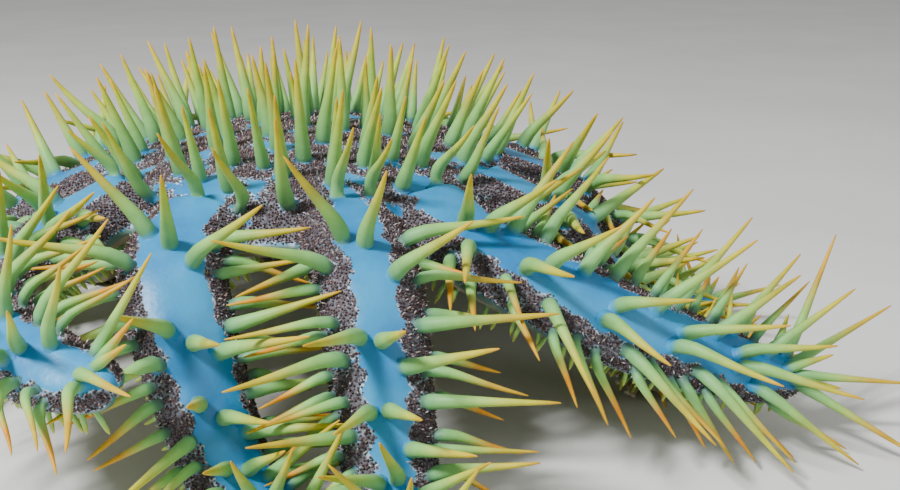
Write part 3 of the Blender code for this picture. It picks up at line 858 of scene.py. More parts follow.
def arm_places(points):
    """For each point: its arm's number or -1 on the disc, and its own s, x and y on the arm."""
    samples, owners = [], []
    for number, path in enumerate(made["paths"]):
        s = np.linspace(0, path.length, 90)
        point, _, upright, _ = path.at(s)
        _, height = path.size_at(s)
        samples.append(point + upright * (height / 2)[:, None])
        owners += [(number, value) for value in s]
    tree = tree_of_points(np.concatenate(samples))
    found = np.array([owners[tree.find(point)[1]] for point in points])
    arm, s = found[:, 0].astype(int), found[:, 1]
    x, y = np.zeros(len(points)), np.zeros(len(points))
    for number, path in enumerate(made["paths"]):
        own = arm == number
        point, sideways, upright, onward = path.at(s[own])
        off = points[own] - point
        s[own] = np.clip(s[own] + (off * onward).sum(1), 0, path.length)
        half, height = path.size_at(s[own])
        x[own] = (off * sideways).sum(1) / half
        y[own] = (off * upright).sum(1) / height
    arm[np.linalg.norm(level_place(points), axis=1) < DISC_RADIUS - DISC_SEAM] = -1
    return arm, s, x, y


def noise_at(points, size, seed=0.0):
    """Smooth noise of about -1 to 1 at each point, with lumps of the given size."""
    shift = Vector((seed, -seed, seed * 0.7))
    return np.array([noise.noise(Vector(point) / size + shift) for point in points])


def papular_field(points, arm, s, x, y, spines):
    """At each point, how far it is into the dark patches, with and without room for the spines,
    and how far onto the underside.
    """
    half = np.full(len(points), ARM_WIDTH / 2)
    height = np.full(len(points), ARM_HEIGHT)
    band = np.full(len(points), BLUE_BAND)
    phase = np.zeros(len(points))
    for number, path in enumerate(made["paths"]):
        own = arm == number
        half[own], height[own] = path.size_at(s[own])
        phase[own] = number * 2.4
        widest = BROAD_BAND if path.arm.name in BROAD_ARMS else BLUE_BAND
        band[own] = widest + END_BAND * smooth((s[own] / path.length - 0.55) / 0.3)
    slow = noise_at(points, SLOW_LUMPS, 3.0)
    quick = noise_at(points, QUICK_LUMPS, 9.0)
    girth = np.abs(x) * half + np.clip(0.93 - y, 0, 1) * height * 0.9
    wave = np.sin(2 * np.pi * s / SCALLOP_PITCH + phase)
    scallop = SCALLOP * wave + SCALLOP * slow + SCALLOP_GRAIN * quick
    limb = girth - half * band - scallop
    under = (PATCH_FLOOR - y) * height
    level = level_place(points)
    reach = np.linalg.norm(level, axis=1)
    off = turns_to_arms(np.arctan2(level[:, 0], -level[:, 1]))
    bands = np.array([BROAD_BAND if item.name in BROAD_ARMS else BLUE_BAND for item in ARMS])
    width = bands[off.argmin(1)] * ARM_WIDTH / 2 + INNER_FADE
    width = width * smooth((reach / DISC_RADIUS - 0.45) / 0.55) - INNER_FADE
    ridge = reach * off.min(1) - width - RIDGE_WAVE * slow - RIDGE_GRAIN * quick
    islands = ISLAND_RISE * (noise_at(points, ISLAND_SIZE, 5.0) + ISLAND_SHARE) + ISLAND_GRAIN * quick
    disc = np.minimum(ridge, islands)
    disc_under = (dome_height(0.8) + hollow_height(0.8)) / 2 - 0.003 - points[:, 2]
    on_disc = arm < 0
    field = np.where(on_disc, disc, limb)
    under = np.where(on_disc, disc_under, under)
    tree = tree_of_points([spine.root for spine in spines])
    found = [tree.find(point) for point in points]
    away = np.array([distance for _, _, distance in found])
    size = np.array([spines[k].radius for _, k, _ in found]) / SPINE_RADIUS
    clear = away - (np.where(on_disc, CLEAR_ON_DISC, CLEAR_ON_ARM) + SCALLOP_GRAIN * slow) * size
    return np.minimum(np.minimum(field, clear), -under), field, under


def chart(arm, s, x, y, points):
    """Each point's place on an unwrap of the skin's own shape, for the OFBake maps."""
    level = level_place(points)
    lengths = np.array([item.length for item in ARMS] + [1.0])[arm]
    column = 0.53 + 0.036 * arm + 0.018 * (1 + np.clip(x, -1, 1) * 0.9)
    row = 0.02 + 0.95 * s / lengths
    disc = 0.25 + level * 0.23 / DISC_RADIUS
    disc[:, 1] = np.where(y > 0, disc[:, 1] + 0.5, disc[:, 1])
    return np.where((arm < 0)[:, None], disc, np.stack([column, row], 1))


def scatter(density, room, seed, low, high):
    """Roots spread over the skin, room apart, fewer where its patch mask is near the low value."""
    skin = made["skin"]
    corners, points, normals, mask = skin["triangles"], skin["points"], skin["normals"], skin["patch"]
    rng = np.random.default_rng(seed)
    a, b, c = (points[corners[:, k]] for k in range(3))
    area = np.linalg.norm(np.cross(b - a, c - a), axis=1) / 2
    area = area * (mask[corners].max(1) > low)
    count = int(area.sum() * density)
    chosen = corners[rng.choice(len(corners), count, p=area / area.sum())]
    u, v = rng.random(count), rng.random(count)
    fold = u + v > 1
    u[fold], v[fold] = 1 - u[fold], 1 - v[fold]
    shares = np.stack([1 - u - v, u, v], 1)
    place = (points[chosen] * shares[..., None]).sum(1)
    normal = unit((normals[chosen] * shares[..., None]).sum(1))
    patch = (mask[chosen] * shares).sum(1)
    tree = tree_of_points(place)
    free = rng.random(count) < (patch - low) / (high - low)
    kept = []
    for k in range(count):
        if free[k]:
            kept.append(k)
            free[[other for _, other, _ in tree.find_range(place[k], room)]] = False
    return place[kept], normal[kept], patch[kept], chosen[kept, 0], rng


def tuft_pieces(name, finish, tufts, profile):
    """Small upright fingers in joined meshes, one mesh to each group of arms and to the disc."""
    roots, aims, owners, heights, radii, tones, pales = tufts
    skin = made["skin"]
    names = np.array([*ARM_NAMES, "disc"])[skin["arm"][owners]]
    corners = skin["chart"][owners] - OFBAKE_PATCH / 2
    shares = np.array(profile)[:, 0]
    rings, tips, _ = straight_tubes(roots, aims, heights, radii, profile, TUFT_SIDES)
    for where, nodes in GROUPS.items():
        own = np.isin(names, nodes)
        shape = (rings[own], tips[own], None, corners[own], OFBAKE_PATCH)
        by_ring = {"along": np.tile(shares, (own.sum(), 1))}
        by_piece = {"tone": tones[own], "pale": pales[own]}
        place_tubes(f"{name}_{where}", "papulae", finish, shape, by_ring, by_piece)


def new_node(tree, kind, inputs=None, **settings):
    """A new shader node with its settings, and its inputs linked or given plain values."""
    node = tree.nodes.new("ShaderNode" + kind)
    for name, value in settings.items():
        setattr(node, name, value)
    for socket, value in (inputs or {}).items():
        if isinstance(value, bpy.types.NodeSocket):
            tree.links.new(value, node.inputs[socket])
        else:
            node.inputs[socket].default_value = value if np.isscalar(value) else (*value, 1)
    return node


def read_attribute(tree, name):
    """An attribute that the mesh carries."""
    return new_node(tree, "Attribute", attribute_name=name).outputs["Fac"]


def noise_over(tree, scale, detail=2.0, roughness=0.5):
    """Noise over the object's own coordinates."""
    place = new_node(tree, "TexCoord").outputs["Object"]
    inputs = {"Vector": place, "Scale": scale, "Detail": detail, "Roughness": roughness}
    return new_node(tree, "TexNoise", inputs).outputs["Fac"]


def combine(tree, operation, first, second, clamp=False):
    """Two values combined by a named operation."""
    return new_node(tree, "Math", {0: first, 1: second}, operation=operation, use_clamp=clamp).outputs[0]


def map_value(tree, value, low, high, to_low=0.0, to_high=1.0, steps="SMOOTHSTEP"):
    """A value spread from one range to another, smoothly unless told otherwise."""
    inputs = {"Value": value, "From Min": low, "From Max": high, "To Min": to_low, "To Max": to_high}
    return new_node(tree, "MapRange", inputs, interpolation_type=steps).outputs["Result"]


def mix_colours(tree, factor, first, second, blend="MIX"):
    """A mix of two colours, each a socket or a plain colour."""
    inputs = {"Factor": factor, "A": first, "B": second}
    return new_node(tree, "Mix", inputs, data_type="RGBA", blend_type=blend).outputs["Result"]


def colour_ramp(tree, value, *stops):
    """A run of colours along a value."""
    node = new_node(tree, "ValToRGB", {"Fac": value})
    elements = node.color_ramp.elements
    for element, (position, colour) in zip(elements, (stops[0], stops[-1])):
        element.position, element.color = position, (*colour, 1)
    for position, colour in stops[1:-1]:
        elements.new(position).color = (*colour, 1)
    return node.outputs["Color"]


def node_group(name, inputs, output, kind):
    """A new shader node group with the named sockets: (group, what it is given, its output)."""
    group = bpy.data.node_groups.new(name, "ShaderNodeTree")
    for socket, value in inputs.items():
        plain = np.isscalar(value)
        socket_type = "NodeSocketFloat" if plain else "NodeSocketColor"
        made_socket = group.interface.new_socket(socket, in_out="INPUT", socket_type=socket_type)
        made_socket.default_value = value if plain else (*value, 1)
    group.interface.new_socket(output, in_out="OUTPUT", socket_type=kind)
    given = group.nodes.new("NodeGroupInput").outputs
    return group, given, group.nodes.new("NodeGroupOutput").inputs[output]


def mottle_group():
    """Two colours mixed by soft noise, for skin, spines and feet."""
    inputs = {"Light": (1, 1, 1), "Deep": (0, 0, 0), "Scale": 60.0, "Balance": 0.5}
    group, given, out = node_group("Mottle", inputs, "Color", "NodeSocketColor")
    lumps = map_value(group, noise_over(group, given["Scale"], 4, 0.55), 0.32, 0.68, steps="LINEAR")
    shift = combine(group, "SUBTRACT", given["Balance"], 0.5)
    share = combine(group, "ADD", lumps, shift, clamp=True)
    group.links.new(mix_colours(group, share, given["Light"], given["Deep"]), out)
    return group


def grain_group():
    """Fine grain as a normal, for every surface."""
    inputs = {"Scale": 900.0, "Strength": 0.3, "Depth": 0.0003}
    group, given, out = node_group("Grain", inputs, "Normal", "NodeSocketVector")
    height = noise_over(group, given["Scale"], 3)
    bump = {"Strength": given["Strength"], "Distance": given["Depth"], "Height": height}
    group.links.new(new_node(group, "Bump", bump).outputs["Normal"], out)
    return group


def mottled(tree, light, deep, scale, balance):
    """Two colours in soft lumps, from the shared group."""
    inputs = {"Light": light, "Deep": deep, "Scale": scale, "Balance": balance}
    return new_node(tree, "Group", inputs, node_tree=made["mottle"]).outputs["Color"]


def new_material(name, roughness, subsurface=0.0):
    """A material with a Principled shader: (material, its tree, the shader's inputs)."""
    finish = bpy.data.materials.new(name)
    finish.use_nodes = True
    inputs = finish.node_tree.nodes["Principled BSDF"].inputs
    inputs["Roughness"].default_value = roughness
    inputs["Subsurface Weight"].default_value = subsurface
    inputs["Subsurface Radius"].default_value = SOFT_RADIUS
    inputs["Subsurface Scale"].default_value = SOFT_DEPTH
    return finish, finish.node_tree, inputs


def dress(tree, inputs, colour, scale, strength, depth):
    """Give a shader its colour and the shared grain."""
    tree.links.new(colour, inputs["Base Color"])
    grain = {"Scale": scale, "Strength": strength, "Depth": depth}
    grain = new_node(tree, "Group", grain, node_tree=made["grain"])
    tree.links.new(grain.outputs["Normal"], inputs["Normal"])


def blue_skin(tree):
    """The plain skin's colour, which the spines' feet share."""
    settings = bpy.context.scene.starfish_skin
    return mottled(tree, settings.light, settings.deep, 38.0, 0.45)


def skin_material(settings):
    """Blue skin, with dark patches in a pale net and a pale underside."""
    finish, tree, inputs = new_material("skin", settings.roughness, settings.subsurface)
    ragged = map_value(tree, noise_over(tree, 700.0), 0.3, 0.7, -0.16, 0.16)
    depth = combine(tree, "ADD", read_attribute(tree, "patch"), ragged)
    place = new_node(tree, "TexCoord").outputs["Object"]
    cells = new_node(tree, "TexVoronoi", {"Vector": place, "Scale": 1 / settings.net_size})
    net = map_value(tree, cells.outputs["Distance"], 0.34, 0.58)
    fade = map_value(tree, depth, 0.45, 0.85, 0.95, 0.18)
    uneven = map_value(tree, noise_over(tree, 140.0), 0.38, 0.62, 0.35, 1.0)
    pale = combine(tree, "MULTIPLY", combine(tree, "MULTIPLY", net, fade), uneven)
    patch = mix_colours(tree, pale, settings.patch, settings.net)
    colour = mix_colours(tree, map_value(tree, depth, 0.36, 0.46), blue_skin(tree), patch)
    under = read_attribute(tree, "under")
    belly = mottled(tree, settings.belly, BELLY_DEEP, 150.0, 0.45)
    colour = mix_colours(tree, map_value(tree, under, 0.48, 0.62), colour, settings.margin)
    colour = mix_colours(tree, map_value(tree, under, 0.74, 0.94), colour, belly)
    rough = map_value(tree, depth, 0.36, 0.6, settings.roughness, settings.roughness + 0.25)
    tree.links.new(rough, inputs["Roughness"])
    dress(tree, inputs, colour, 700.0, 0.25, 0.0004)
    return finish


def spine_material(settings):
    """Spines that run from the skin's blue through grey-green and yellow to orange."""
    finish, tree, inputs = new_material("spine", settings.roughness, settings.subsurface)
    along = read_attribute(tree, "along")
    base, middle, tip = settings.base, settings.middle, settings.tip
    green = colour_ramp(tree, along, (0.0, base), (0.42, middle), (0.78, settings.upper), (1.0, tip))
    warm = colour_ramp(tree, along, (0.0, base), (0.30, middle), (0.66, settings.orange), (1.0, tip))
    colour = mix_colours(tree, read_attribute(tree, "tone"), green, warm)
    shade = mottled(tree, (1, 1, 1), SPINE_SHADE, 140.0, 0.4)
    colour = mix_colours(tree, 1.0, colour, shade, "MULTIPLY")
    ground = mix_colours(tree, read_attribute(tree, "ground"), blue_skin(tree), settings.collar)
    grown = map_value(tree, read_attribute(tree, "rise"), 0.0, 1.0)
    inputs["Sheen Weight"].default_value = settings.sheen
    inputs["Sheen Roughness"].default_value = 0.45
    inputs["Specular IOR Level"].default_value = 0.3
    dress(tree, inputs, mix_colours(tree, grown, ground, colour), 1500.0, 0.2, 0.0002)
    return finish


def tuft_material(name, root, tip, other):
    """Papulae and pincers: darker at the root, some of another tone, some with a pale rim."""
    finish, tree, inputs = new_material(name, 0.45, 0.1)
    along = read_attribute(tree, "along")
    base = colour_ramp(tree, along, (0.1, root), (0.9, tip))
    chosen = map_value(tree, read_attribute(tree, "tone"), 0.55, 0.95)
    colour = mix_colours(tree, chosen, base, other)
    low = map_value(tree, along, 0.0, 0.24, 1.0, 0.0)
    around = combine(tree, "MULTIPLY", low, read_attribute(tree, "pale"))
    colour = mix_colours(tree, around, colour, bpy.context.scene.starfish_skin.net)
    dress(tree, inputs, colour, 2500.0, 0.15, 0.0001)
    return finish


def foot_material(settings):
    """Pale ochre tube feet with paler suckers."""
    finish, tree, inputs = new_material("tube_feet", 0.4, 0.25)
    body = mottled(tree, settings.light, settings.deep, 300.0, 0.5)
    sucker = map_value(tree, read_attribute(tree, "along"), 0.8, 0.95)
    dress(tree, inputs, mix_colours(tree, sucker, body, settings.sucker), 1800.0, 0.2, 0.0002)
    return finish


def skirts(roots, radii, normals, aims, length, bows, sides):
    """The rings where the skin runs up into each spine, and the share of the spine where they end."""
    across, along = across_and_along(aims)
    upright = np.clip((aims * normals).sum(1), 0.45, 1)
    heights = radii * (0.9 + np.sqrt(1 - upright**2) / upright)
    out = directions_round(across, along, sides)
    flat = unit(out - normals[:, None] * (out * normals[:, None]).sum(-1, keepdims=True))
    broad = SKIRT_REACH * (SKIRT_ON_BLUE - made["ground"]) * radii / SPINE_RADIUS
    reach = (radii * 1.15 + broad)[:, None, None]
    rim = roots[:, None] + flat * reach
    for i in range(len(roots)):
        for k in range(sides):
            place, normal, _, _ = made["tree"].find_nearest(Vector(rim[i, k]))
            rim[i, k] = np.array(place - normal * SKIRT_SINK)
    share = heights / length
    top = spine_centres(roots, aims, length, bows, share[:, None])
    width = radii * np.interp(share, SPINE_SHARES, SPINE_WIDTHS)
    end = circles(top, across, along, width[:, None], sides)[:, 0]
    inward = rim - flat * (reach * 0.62)
    below = end - aims[:, None] * (heights * 0.75)[:, None, None]
    rings = [rim]
    for t in SKIRT_STEPS:
        a, b, c, d = (1 - t) ** 3, 3 * t * (1 - t) ** 2, 3 * t * t * (1 - t), t**3
        rings.append(rim * a + inward * b + below * c + end * d)
    return np.stack(rings, axis=1), share


def spine_centres(roots, aims, length, bow, shares):
    """Points along each spine's bowed line, at shares of its length."""
    lift = shares / SPINE_BOW_PLACE * np.exp(1 - shares / SPINE_BOW_PLACE)
    lift = lift - shares / SPINE_BOW_PLACE * math.exp(1 - 1 / SPINE_BOW_PLACE)
    straight = roots[:, None] + aims[:, None] * (shares * length[:, None])[..., None]
    return straight + bow[:, None] * (lift * length[:, None])[..., None]


def ease_bows(roots, aims, length, radii, bow):
    """The spines' lengths and bows, made smaller where two spines would meet."""
    length, bow = length.copy(), bow.copy()
    shares = np.linspace(0.0, 1.0, BOW_STEPS)
    widths = radii[:, None] * np.interp(shares, SPINE_SHARES, SPINE_WIDTHS) + BOW_GAP / 2
    both_low = (shares[:, None] < LOW_SHARE) & (shares[None] < LOW_SHARE)
    middles = roots + aims * length[:, None] / 2
    tree = tree_of_points(middles)
    pairs = set()
    for i, middle in enumerate(middles):
        near = tree.find_range(Vector(middle), length[i] / 2 + length.max() / 2 + NEAR_ROOM)
        pairs |= {(min(i, j), max(i, j)) for _, j, _ in near if j != i}
    first, second = np.array(sorted(pairs)).T
    for step in range(EASE_ROUNDS + SHORTEN_ROUNDS):
        lines = spine_centres(roots, aims, length, bow, np.tile(shares, (len(roots), 1)))
        gaps, places = np.empty(len(first)), np.empty(len(first), int)
        for k in range(0, len(first), PAIRS_AT_ONCE):
            batch = slice(k, k + PAIRS_AT_ONCE)
            i, j = first[batch], second[batch]
            away = np.linalg.norm(lines[i][:, :, None] - lines[j][:, None], axis=-1)
            away = away - widths[i][:, :, None] - widths[j][:, None] + both_low
            gaps[batch] = away.min((1, 2))
            places[batch] = away.reshape(len(i), -1).argmin(1)
        meet = gaps < 0
        if not meet.any():
            break
        i, j = first[meet], second[meet]
        if step < EASE_ROUNDS:
            bow[np.unique(np.concatenate([i, j]))] *= BOW_EASE
        else:
            further = places[meet] // BOW_STEPS > places[meet] % BOW_STEPS
            length[np.unique(np.where(further, i, j))] *= SHORTEN
        if step == 0:
            close = gaps < STAY_CLOSE
            first, second = first[close], second[close]
    return length, bow


def spine_pieces(spines, finish, sides, steps):
    """The spines in joined meshes, the disc's and each group of arms' own."""
    rng = np.random.default_rng(31)
    roots = np.array([spine.root for spine in spines])
    lines = np.array([spine.tip for spine in spines]) - roots
    radii = np.array([spine.radius for spine in spines])
    orange = np.array([spine.orange for spine in spines])
    length = np.linalg.norm(lines, axis=1)
    aims = lines / length[:, None]
    across, along = across_and_along(aims)
    normals = np.array([made["tree"].find_nearest(Vector(root))[1] for root in roots])
    turn = rng.uniform(0, 2 * np.pi, len(spines))
    wander = across * np.cos(turn)[:, None] + along * np.sin(turn)[:, None]
    rise = normals - (normals * aims).sum(1)[:, None] * aims
    bows = SPINE_BOW * rise + SPINE_WANDER * wander
    length, bows = ease_bows(roots, aims, length, radii, bows)
    skirt, start = skirts(roots, radii, normals, aims, length, bows, sides)
    start = start[:, None]
    shares = start + (1 - start) * np.linspace(0, 1, steps)[None] ** 0.9
    widths = radii[:, None] * np.interp(shares, SPINE_SHARES, SPINE_WIDTHS)
    centres = spine_centres(roots, aims, length, bows, shares)
    rings = np.concatenate([skirt, circles(centres, across, along, widths, sides)], axis=1)
    tips = centres[:, -1] + aims * widths[:, -1:] * END_POINT_SHARE
    bases = roots - normals * ROOT_SINK
    shares = np.concatenate([start * np.array([0.0, *SKIRT_STEPS]) ** 2, shares], axis=1)
    heights = shares * length[:, None] / RISE_LENGTH
    for where, nodes in GROUPS.items():
        own = [k for k, spine in enumerate(spines) if spine.node in nodes]
        tone = np.clip(orange[own] * 0.75 + rng.uniform(0, 0.35, len(own)), 0, 1)
        by_ring = {"along": shares[own], "rise": heights[own]}
        by_piece = {"tone": tone, "ground": made["ground"][own]}
        shape = (rings[own], tips[own], bases[own], *atlas_cells(len(own)))
        place_tubes(f"spines_{where}", "spine", finish, shape, by_ring, by_piece, *nodes)


def atlas_cells(count):
    """The corners and the size of a square grid of cells on the OFBake map."""
    across = math.ceil(math.sqrt(count))
    size = 1 / across
    index = np.arange(count)
    return np.stack([index % across, index // across], 1) * size, size * 0.92


def groove_pieces(settings, finish):
    """The tube feet in their grooves and the blunt spines that line them."""
    feet, guards = [], []
    rng = np.random.default_rng(53)
    for path in made["paths"]:
        tuck = TUCKED if path.arm.lift > HIGH_LIFT else 1
        for side in (-1, 1):
            for s in np.arange(FEET_FROM, path.length - FEET_END, settings.pitch):
                s = s + rng.uniform(-0.2, 0.2) * settings.pitch
                point, sideways, upright, onward = path.at(s)
                if s < 0:
                    point = DISC_CENTRE + outward(math.radians(path.arm.azimuth)) * (DISC_RADIUS + s)
                    point[2] = hollow_height((DISC_RADIUS + s) / DISC_RADIUS)
                    upright = np.array([0.0, 0.0, 1.0])
                half, height = path.size_at(s)
                out = sideways * side
                root = point + out * half * FEET_PLACE + upright * height * 0.20
                down = hanging(rng, upright, out, onward, (0.05, 0.35), (-0.3, 0.3))
                reach = settings.length * rng.uniform(0.75, 1.1) * tuck
                room = (root[2] - settings.radius * 0.6) / max(-down[2], 0.2)
                feet.append((root, down, min(reach, max(room, 0.001))))
                guard = point + out * half * GUARD_PLACE + upright * PEG_SINK
                if guard[2] > GUARD_ROOM:
                    aim = hanging(rng, upright, out, onward, (0.2, 0.6), (-0.2, 0.2))
                    guards.append((guard, aim, rng.uniform(*GUARD_LENGTH)))
                oral = point + out * half * ORAL_PLACE + upright * PEG_SINK
                if oral[2] > ORAL_ROOM and s > ORAL_FROM:
                    aim = hanging(rng, upright, out, onward, (0.3, 0.8), (-0.2, 0.4))
                    guards.append((oral, aim, rng.uniform(*ORAL_LENGTH)))
    add_pegs("tube_feet", "tube_feet", finish, feet, FOOT_PROFILE, settings.radius, 7, 1.0)
    add_pegs("groove_spines", "spine", made["spine"], guards, GUARD_PROFILE, GUARD_RADIUS, 6, 0.6)


def hanging(rng, upright, out, onward, outwards, onwards):
    """A direction downwards that leans outwards and onwards by amounts within the given ranges."""
    return unit(-upright + out * rng.uniform(*outwards) + onward * rng.uniform(*onwards))


def add_pegs(name, slot, finish, pegs, profile, radius, sides, ends_at, *nodes):
    """Short pegs of (root, direction, length) in one joined mesh."""
    count = len(pegs)
    roots, aims, lengths = (np.array(values) for values in zip(*pegs))
    shares = np.array(profile)[:, 0]
    tubes = straight_tubes(roots, aims, lengths, np.full(count, radius), profile, sides)
    shape = (*tubes, *atlas_cells(count))
    by_ring = {"along": np.tile(shares * ends_at, (count, 1)), "rise": np.ones((count, len(shares)))}
    return place_tubes(name, slot, finish, shape, by_ring, {"tone": np.full(count, 0.3)}, *nodes)


def colour_setting(name, about, value):
    """A property that holds a colour."""
    return FloatVectorProperty(name=name, description=about, subtype="COLOR", default=value)


def length_setting(name, about, value):
    """A property that holds a length in metres."""
    return FloatProperty(name=name, description=about, default=value, unit="LENGTH", precision=5)


def share_setting(name, about, value):
    """A property that holds a share from 0 to 1."""
    return FloatProperty(name=name, description=about, default=value, subtype="FACTOR")


def power_setting(name, about, value):
    """A property that holds a light's power in watts."""
    return FloatProperty(name=name, description=about, default=value, unit="POWER")


def angle_setting(name, about, degrees):
    """A property that holds an angle."""
    return FloatProperty(name=name, description=about, default=math.radians(degrees), subtype="ANGLE")


class StarfishSkinSettings(bpy.types.PropertyGroup):
    voxel: length_setting("Detail size", "Size of the skin's faces", 0.00148)
    mound_rise: length_setting("Mound height", "How far the skin rises round a spine", 0.0008)
    mound_spread: length_setting("Mound width", "How far round a spine the skin rises", 0.0042)
    light: colour_setting("Light blue", "Lighter tone of the skin", (0.016, 0.29, 0.57))
    deep: colour_setting("Deep blue", "Deeper tone of the skin", (0.006, 0.155, 0.42))
    patch: colour_setting("Patch", "Tone between the papulae", (0.042, 0.024, 0.032))
    net: colour_setting("Net", "Pale net at the patches' edges", (0.50, 0.67, 0.82))
    net_size: length_setting("Net size", "Width of the net's cells", 0.0010)
    margin: colour_setting("Margin", "Tone of the arms' lower edges", (0.085, 0.17, 0.135))
    belly: colour_setting("Belly", "Tone of the underside", (0.42, 0.36, 0.22))
    roughness: share_setting("Roughness", "Roughness of the skin", 0.42)
    subsurface: share_setting("Softness", "How far light passes into the skin", 0.12)


class StarfishSpineSettings(bpy.types.PropertyGroup):
    sides: IntProperty(name="Sides", description="Sides of each spine", default=12, min=6)
    steps: IntProperty(name="Steps", description="Rings along each spine", default=11, min=6)
    base: colour_setting("Base", "Tone of the swollen base", (0.15, 0.42, 0.19))
    middle: colour_setting("Middle", "Tone of the middle", (0.32, 0.61, 0.14))
    upper: colour_setting("Upper", "Tone towards the tip", (0.55, 0.62, 0.035))
    tip: colour_setting("Tip", "Tone of the tip", (0.68, 0.36, 0.003))
    orange: colour_setting("Orange", "Tone of the lower spines' ends", (0.70, 0.25, 0.0))
    collar: colour_setting("Collar", "Tone of the foot of a spine in a patch", (0.075, 0.16, 0.135))
    roughness: share_setting("Roughness", "Roughness of the spines", 0.5)
    sheen: share_setting("Sheen", "Soft light along the spines' edges", 0.04)
    subsurface: share_setting("Softness", "How far light passes into the spines", 0.08)


class StarfishPapulaeSettings(bpy.types.PropertyGroup):
    density: FloatProperty(name="Density", description="Tries for each square metre", default=4.0e6)
    spacing: length_setting("Spacing", "Smallest room for each papula", 0.00068)
    height: length_setting("Height", "Height of a papula", 0.00066)
    radius: length_setting("Radius", "Radius of a papula", 0.00036)
    pincer_spacing: length_setting("Pincer spacing", "Smallest room for each pincer", 0.0022)
    pincer_height: length_setting("Pincer height", "Height of a pincer", 0.0011)
    pincer_radius: length_setting("Pincer radius", "Radius of a pincer", 0.00017)


class StarfishFootSettings(bpy.types.PropertyGroup):
    pitch: length_setting("Pitch", "Step between tube feet", 0.0038)
    length: length_setting("Length", "Length of a tube foot", 0.008)
    radius: length_setting("Radius", "Radius of a tube foot", 0.0008)
    light: colour_setting("Light", "Lighter tone", (0.66, 0.52, 0.30))
    deep: colour_setting("Deep", "Deeper tone", (0.45, 0.30, 0.14))
    sucker: colour_setting("Sucker", "Tone of the suckers", (0.78, 0.70, 0.52))


class StarfishStageSettings(bpy.types.PropertyGroup):
    floor: colour_setting("Floor", "Tone of the floor", (0.78, 0.78, 0.77))
    key_power: power_setting("Key light", "Power of the key light", 20.0)
    fill_power: power_setting("Fill light", "Power of the fill light", 4.2)
    surround: FloatProperty(name="Surround", description="Strength of the light all round", default=0.40)
    distance: length_setting("Camera distance", "From the camera to its target", 0.33)
    elevation: angle_setting("Camera elevation", "Height angle of the camera", 17)
    view_angle: angle_setting("View angle", "Width of the camera's view", 42)


class STARFISH_OT_skin(bpy.types.Operator):
    """Build the skin of the disc and arms, and settle the spines' places on it"""

    bl_idname = "starfish.skin"
    bl_label = "Skin"

    def execute(self, context):
        settings = context.scene.starfish_skin
        made["mottle"] = mottle_group()
        made["grain"] = grain_group()
        made["paths"] = [ArmPath(arm) for arm in ARMS]
        mesh, points = skin_base(settings.voxel)
        normals = move_points(mesh, points)
        made["tree"] = tree_of(mesh)
        made["spines"] = spines = settle_spines()
        arm, s, x, y = arm_places(points)
        field, open_field, under = papular_field(points, arm, s, x, y, spines)
        tree = tree_of_points(points)
        roots = [tree.find(spine.root)[1] for spine in spines]
        made["ground"] = smooth(0.2 + open_field[roots] / PATCH_EDGE)
        points = raise_mounds(points, normals, spines, settings.mound_rise, settings.mound_spread)
        points[:, 2] = np.maximum(points[:, 2], 0)
        normals = move_points(mesh, points)
        made["tree"] = tree_of(mesh)
        patch = np.clip(0.5 + field / PATCH_EDGE, 0, 1)
        set_attribute(mesh, "patch", patch)
        set_attribute(mesh, "under", np.clip(0.5 + under / UNDER_EDGE, 0, 1))
        mesh.calc_loop_triangles()
        corners = np.zeros(len(mesh.loop_triangles) * 3, int)
        mesh.loop_triangles.foreach_get("vertices", corners)
        on_top = np.where(arm < 0, points[:, 2] - dome_height(1) + 0.004, y)
        made["skin"] = {
            "points": points,
            "normals": normals,
            "triangles": corners.reshape(-1, 3),
            "patch": patch,
            "arm": arm,
            "chart": chart(arm, s, x, on_top, points),
        }
        mesh.materials.append(skin_material(settings))
        place_piece("skin", mesh, "skin", "disc", *ARM_NAMES)
        return {"FINISHED"}


def move_points(mesh, points):
    """Move a mesh's points, and return its new normals."""
    mesh.vertices.foreach_set("co", points.ravel())
    mesh.update()
    mesh.shade_smooth()
    normals = np.zeros(len(points) * 3)
    mesh.vertices.foreach_get("normal", normals)
    return normals.reshape(-1, 3)


def tree_of(mesh):
    """A search tree of a mesh's faces."""
    points = [vertex.co.copy() for vertex in mesh.vertices]
    return BVHTree.FromPolygons(points, [tuple(face.vertices) for face in mesh.polygons])


class STARFISH_OT_spines(bpy.types.Operator):
    """Build the spines"""

    bl_idname = "starfish.spines"
    bl_label = "Spines"

    def execute(self, context):
        settings = context.scene.starfish_spines
        made["spine"] = spine_material(settings)
        spine_pieces(made["spines"], made["spine"], settings.sides, settings.steps)
        return {"FINISHED"}


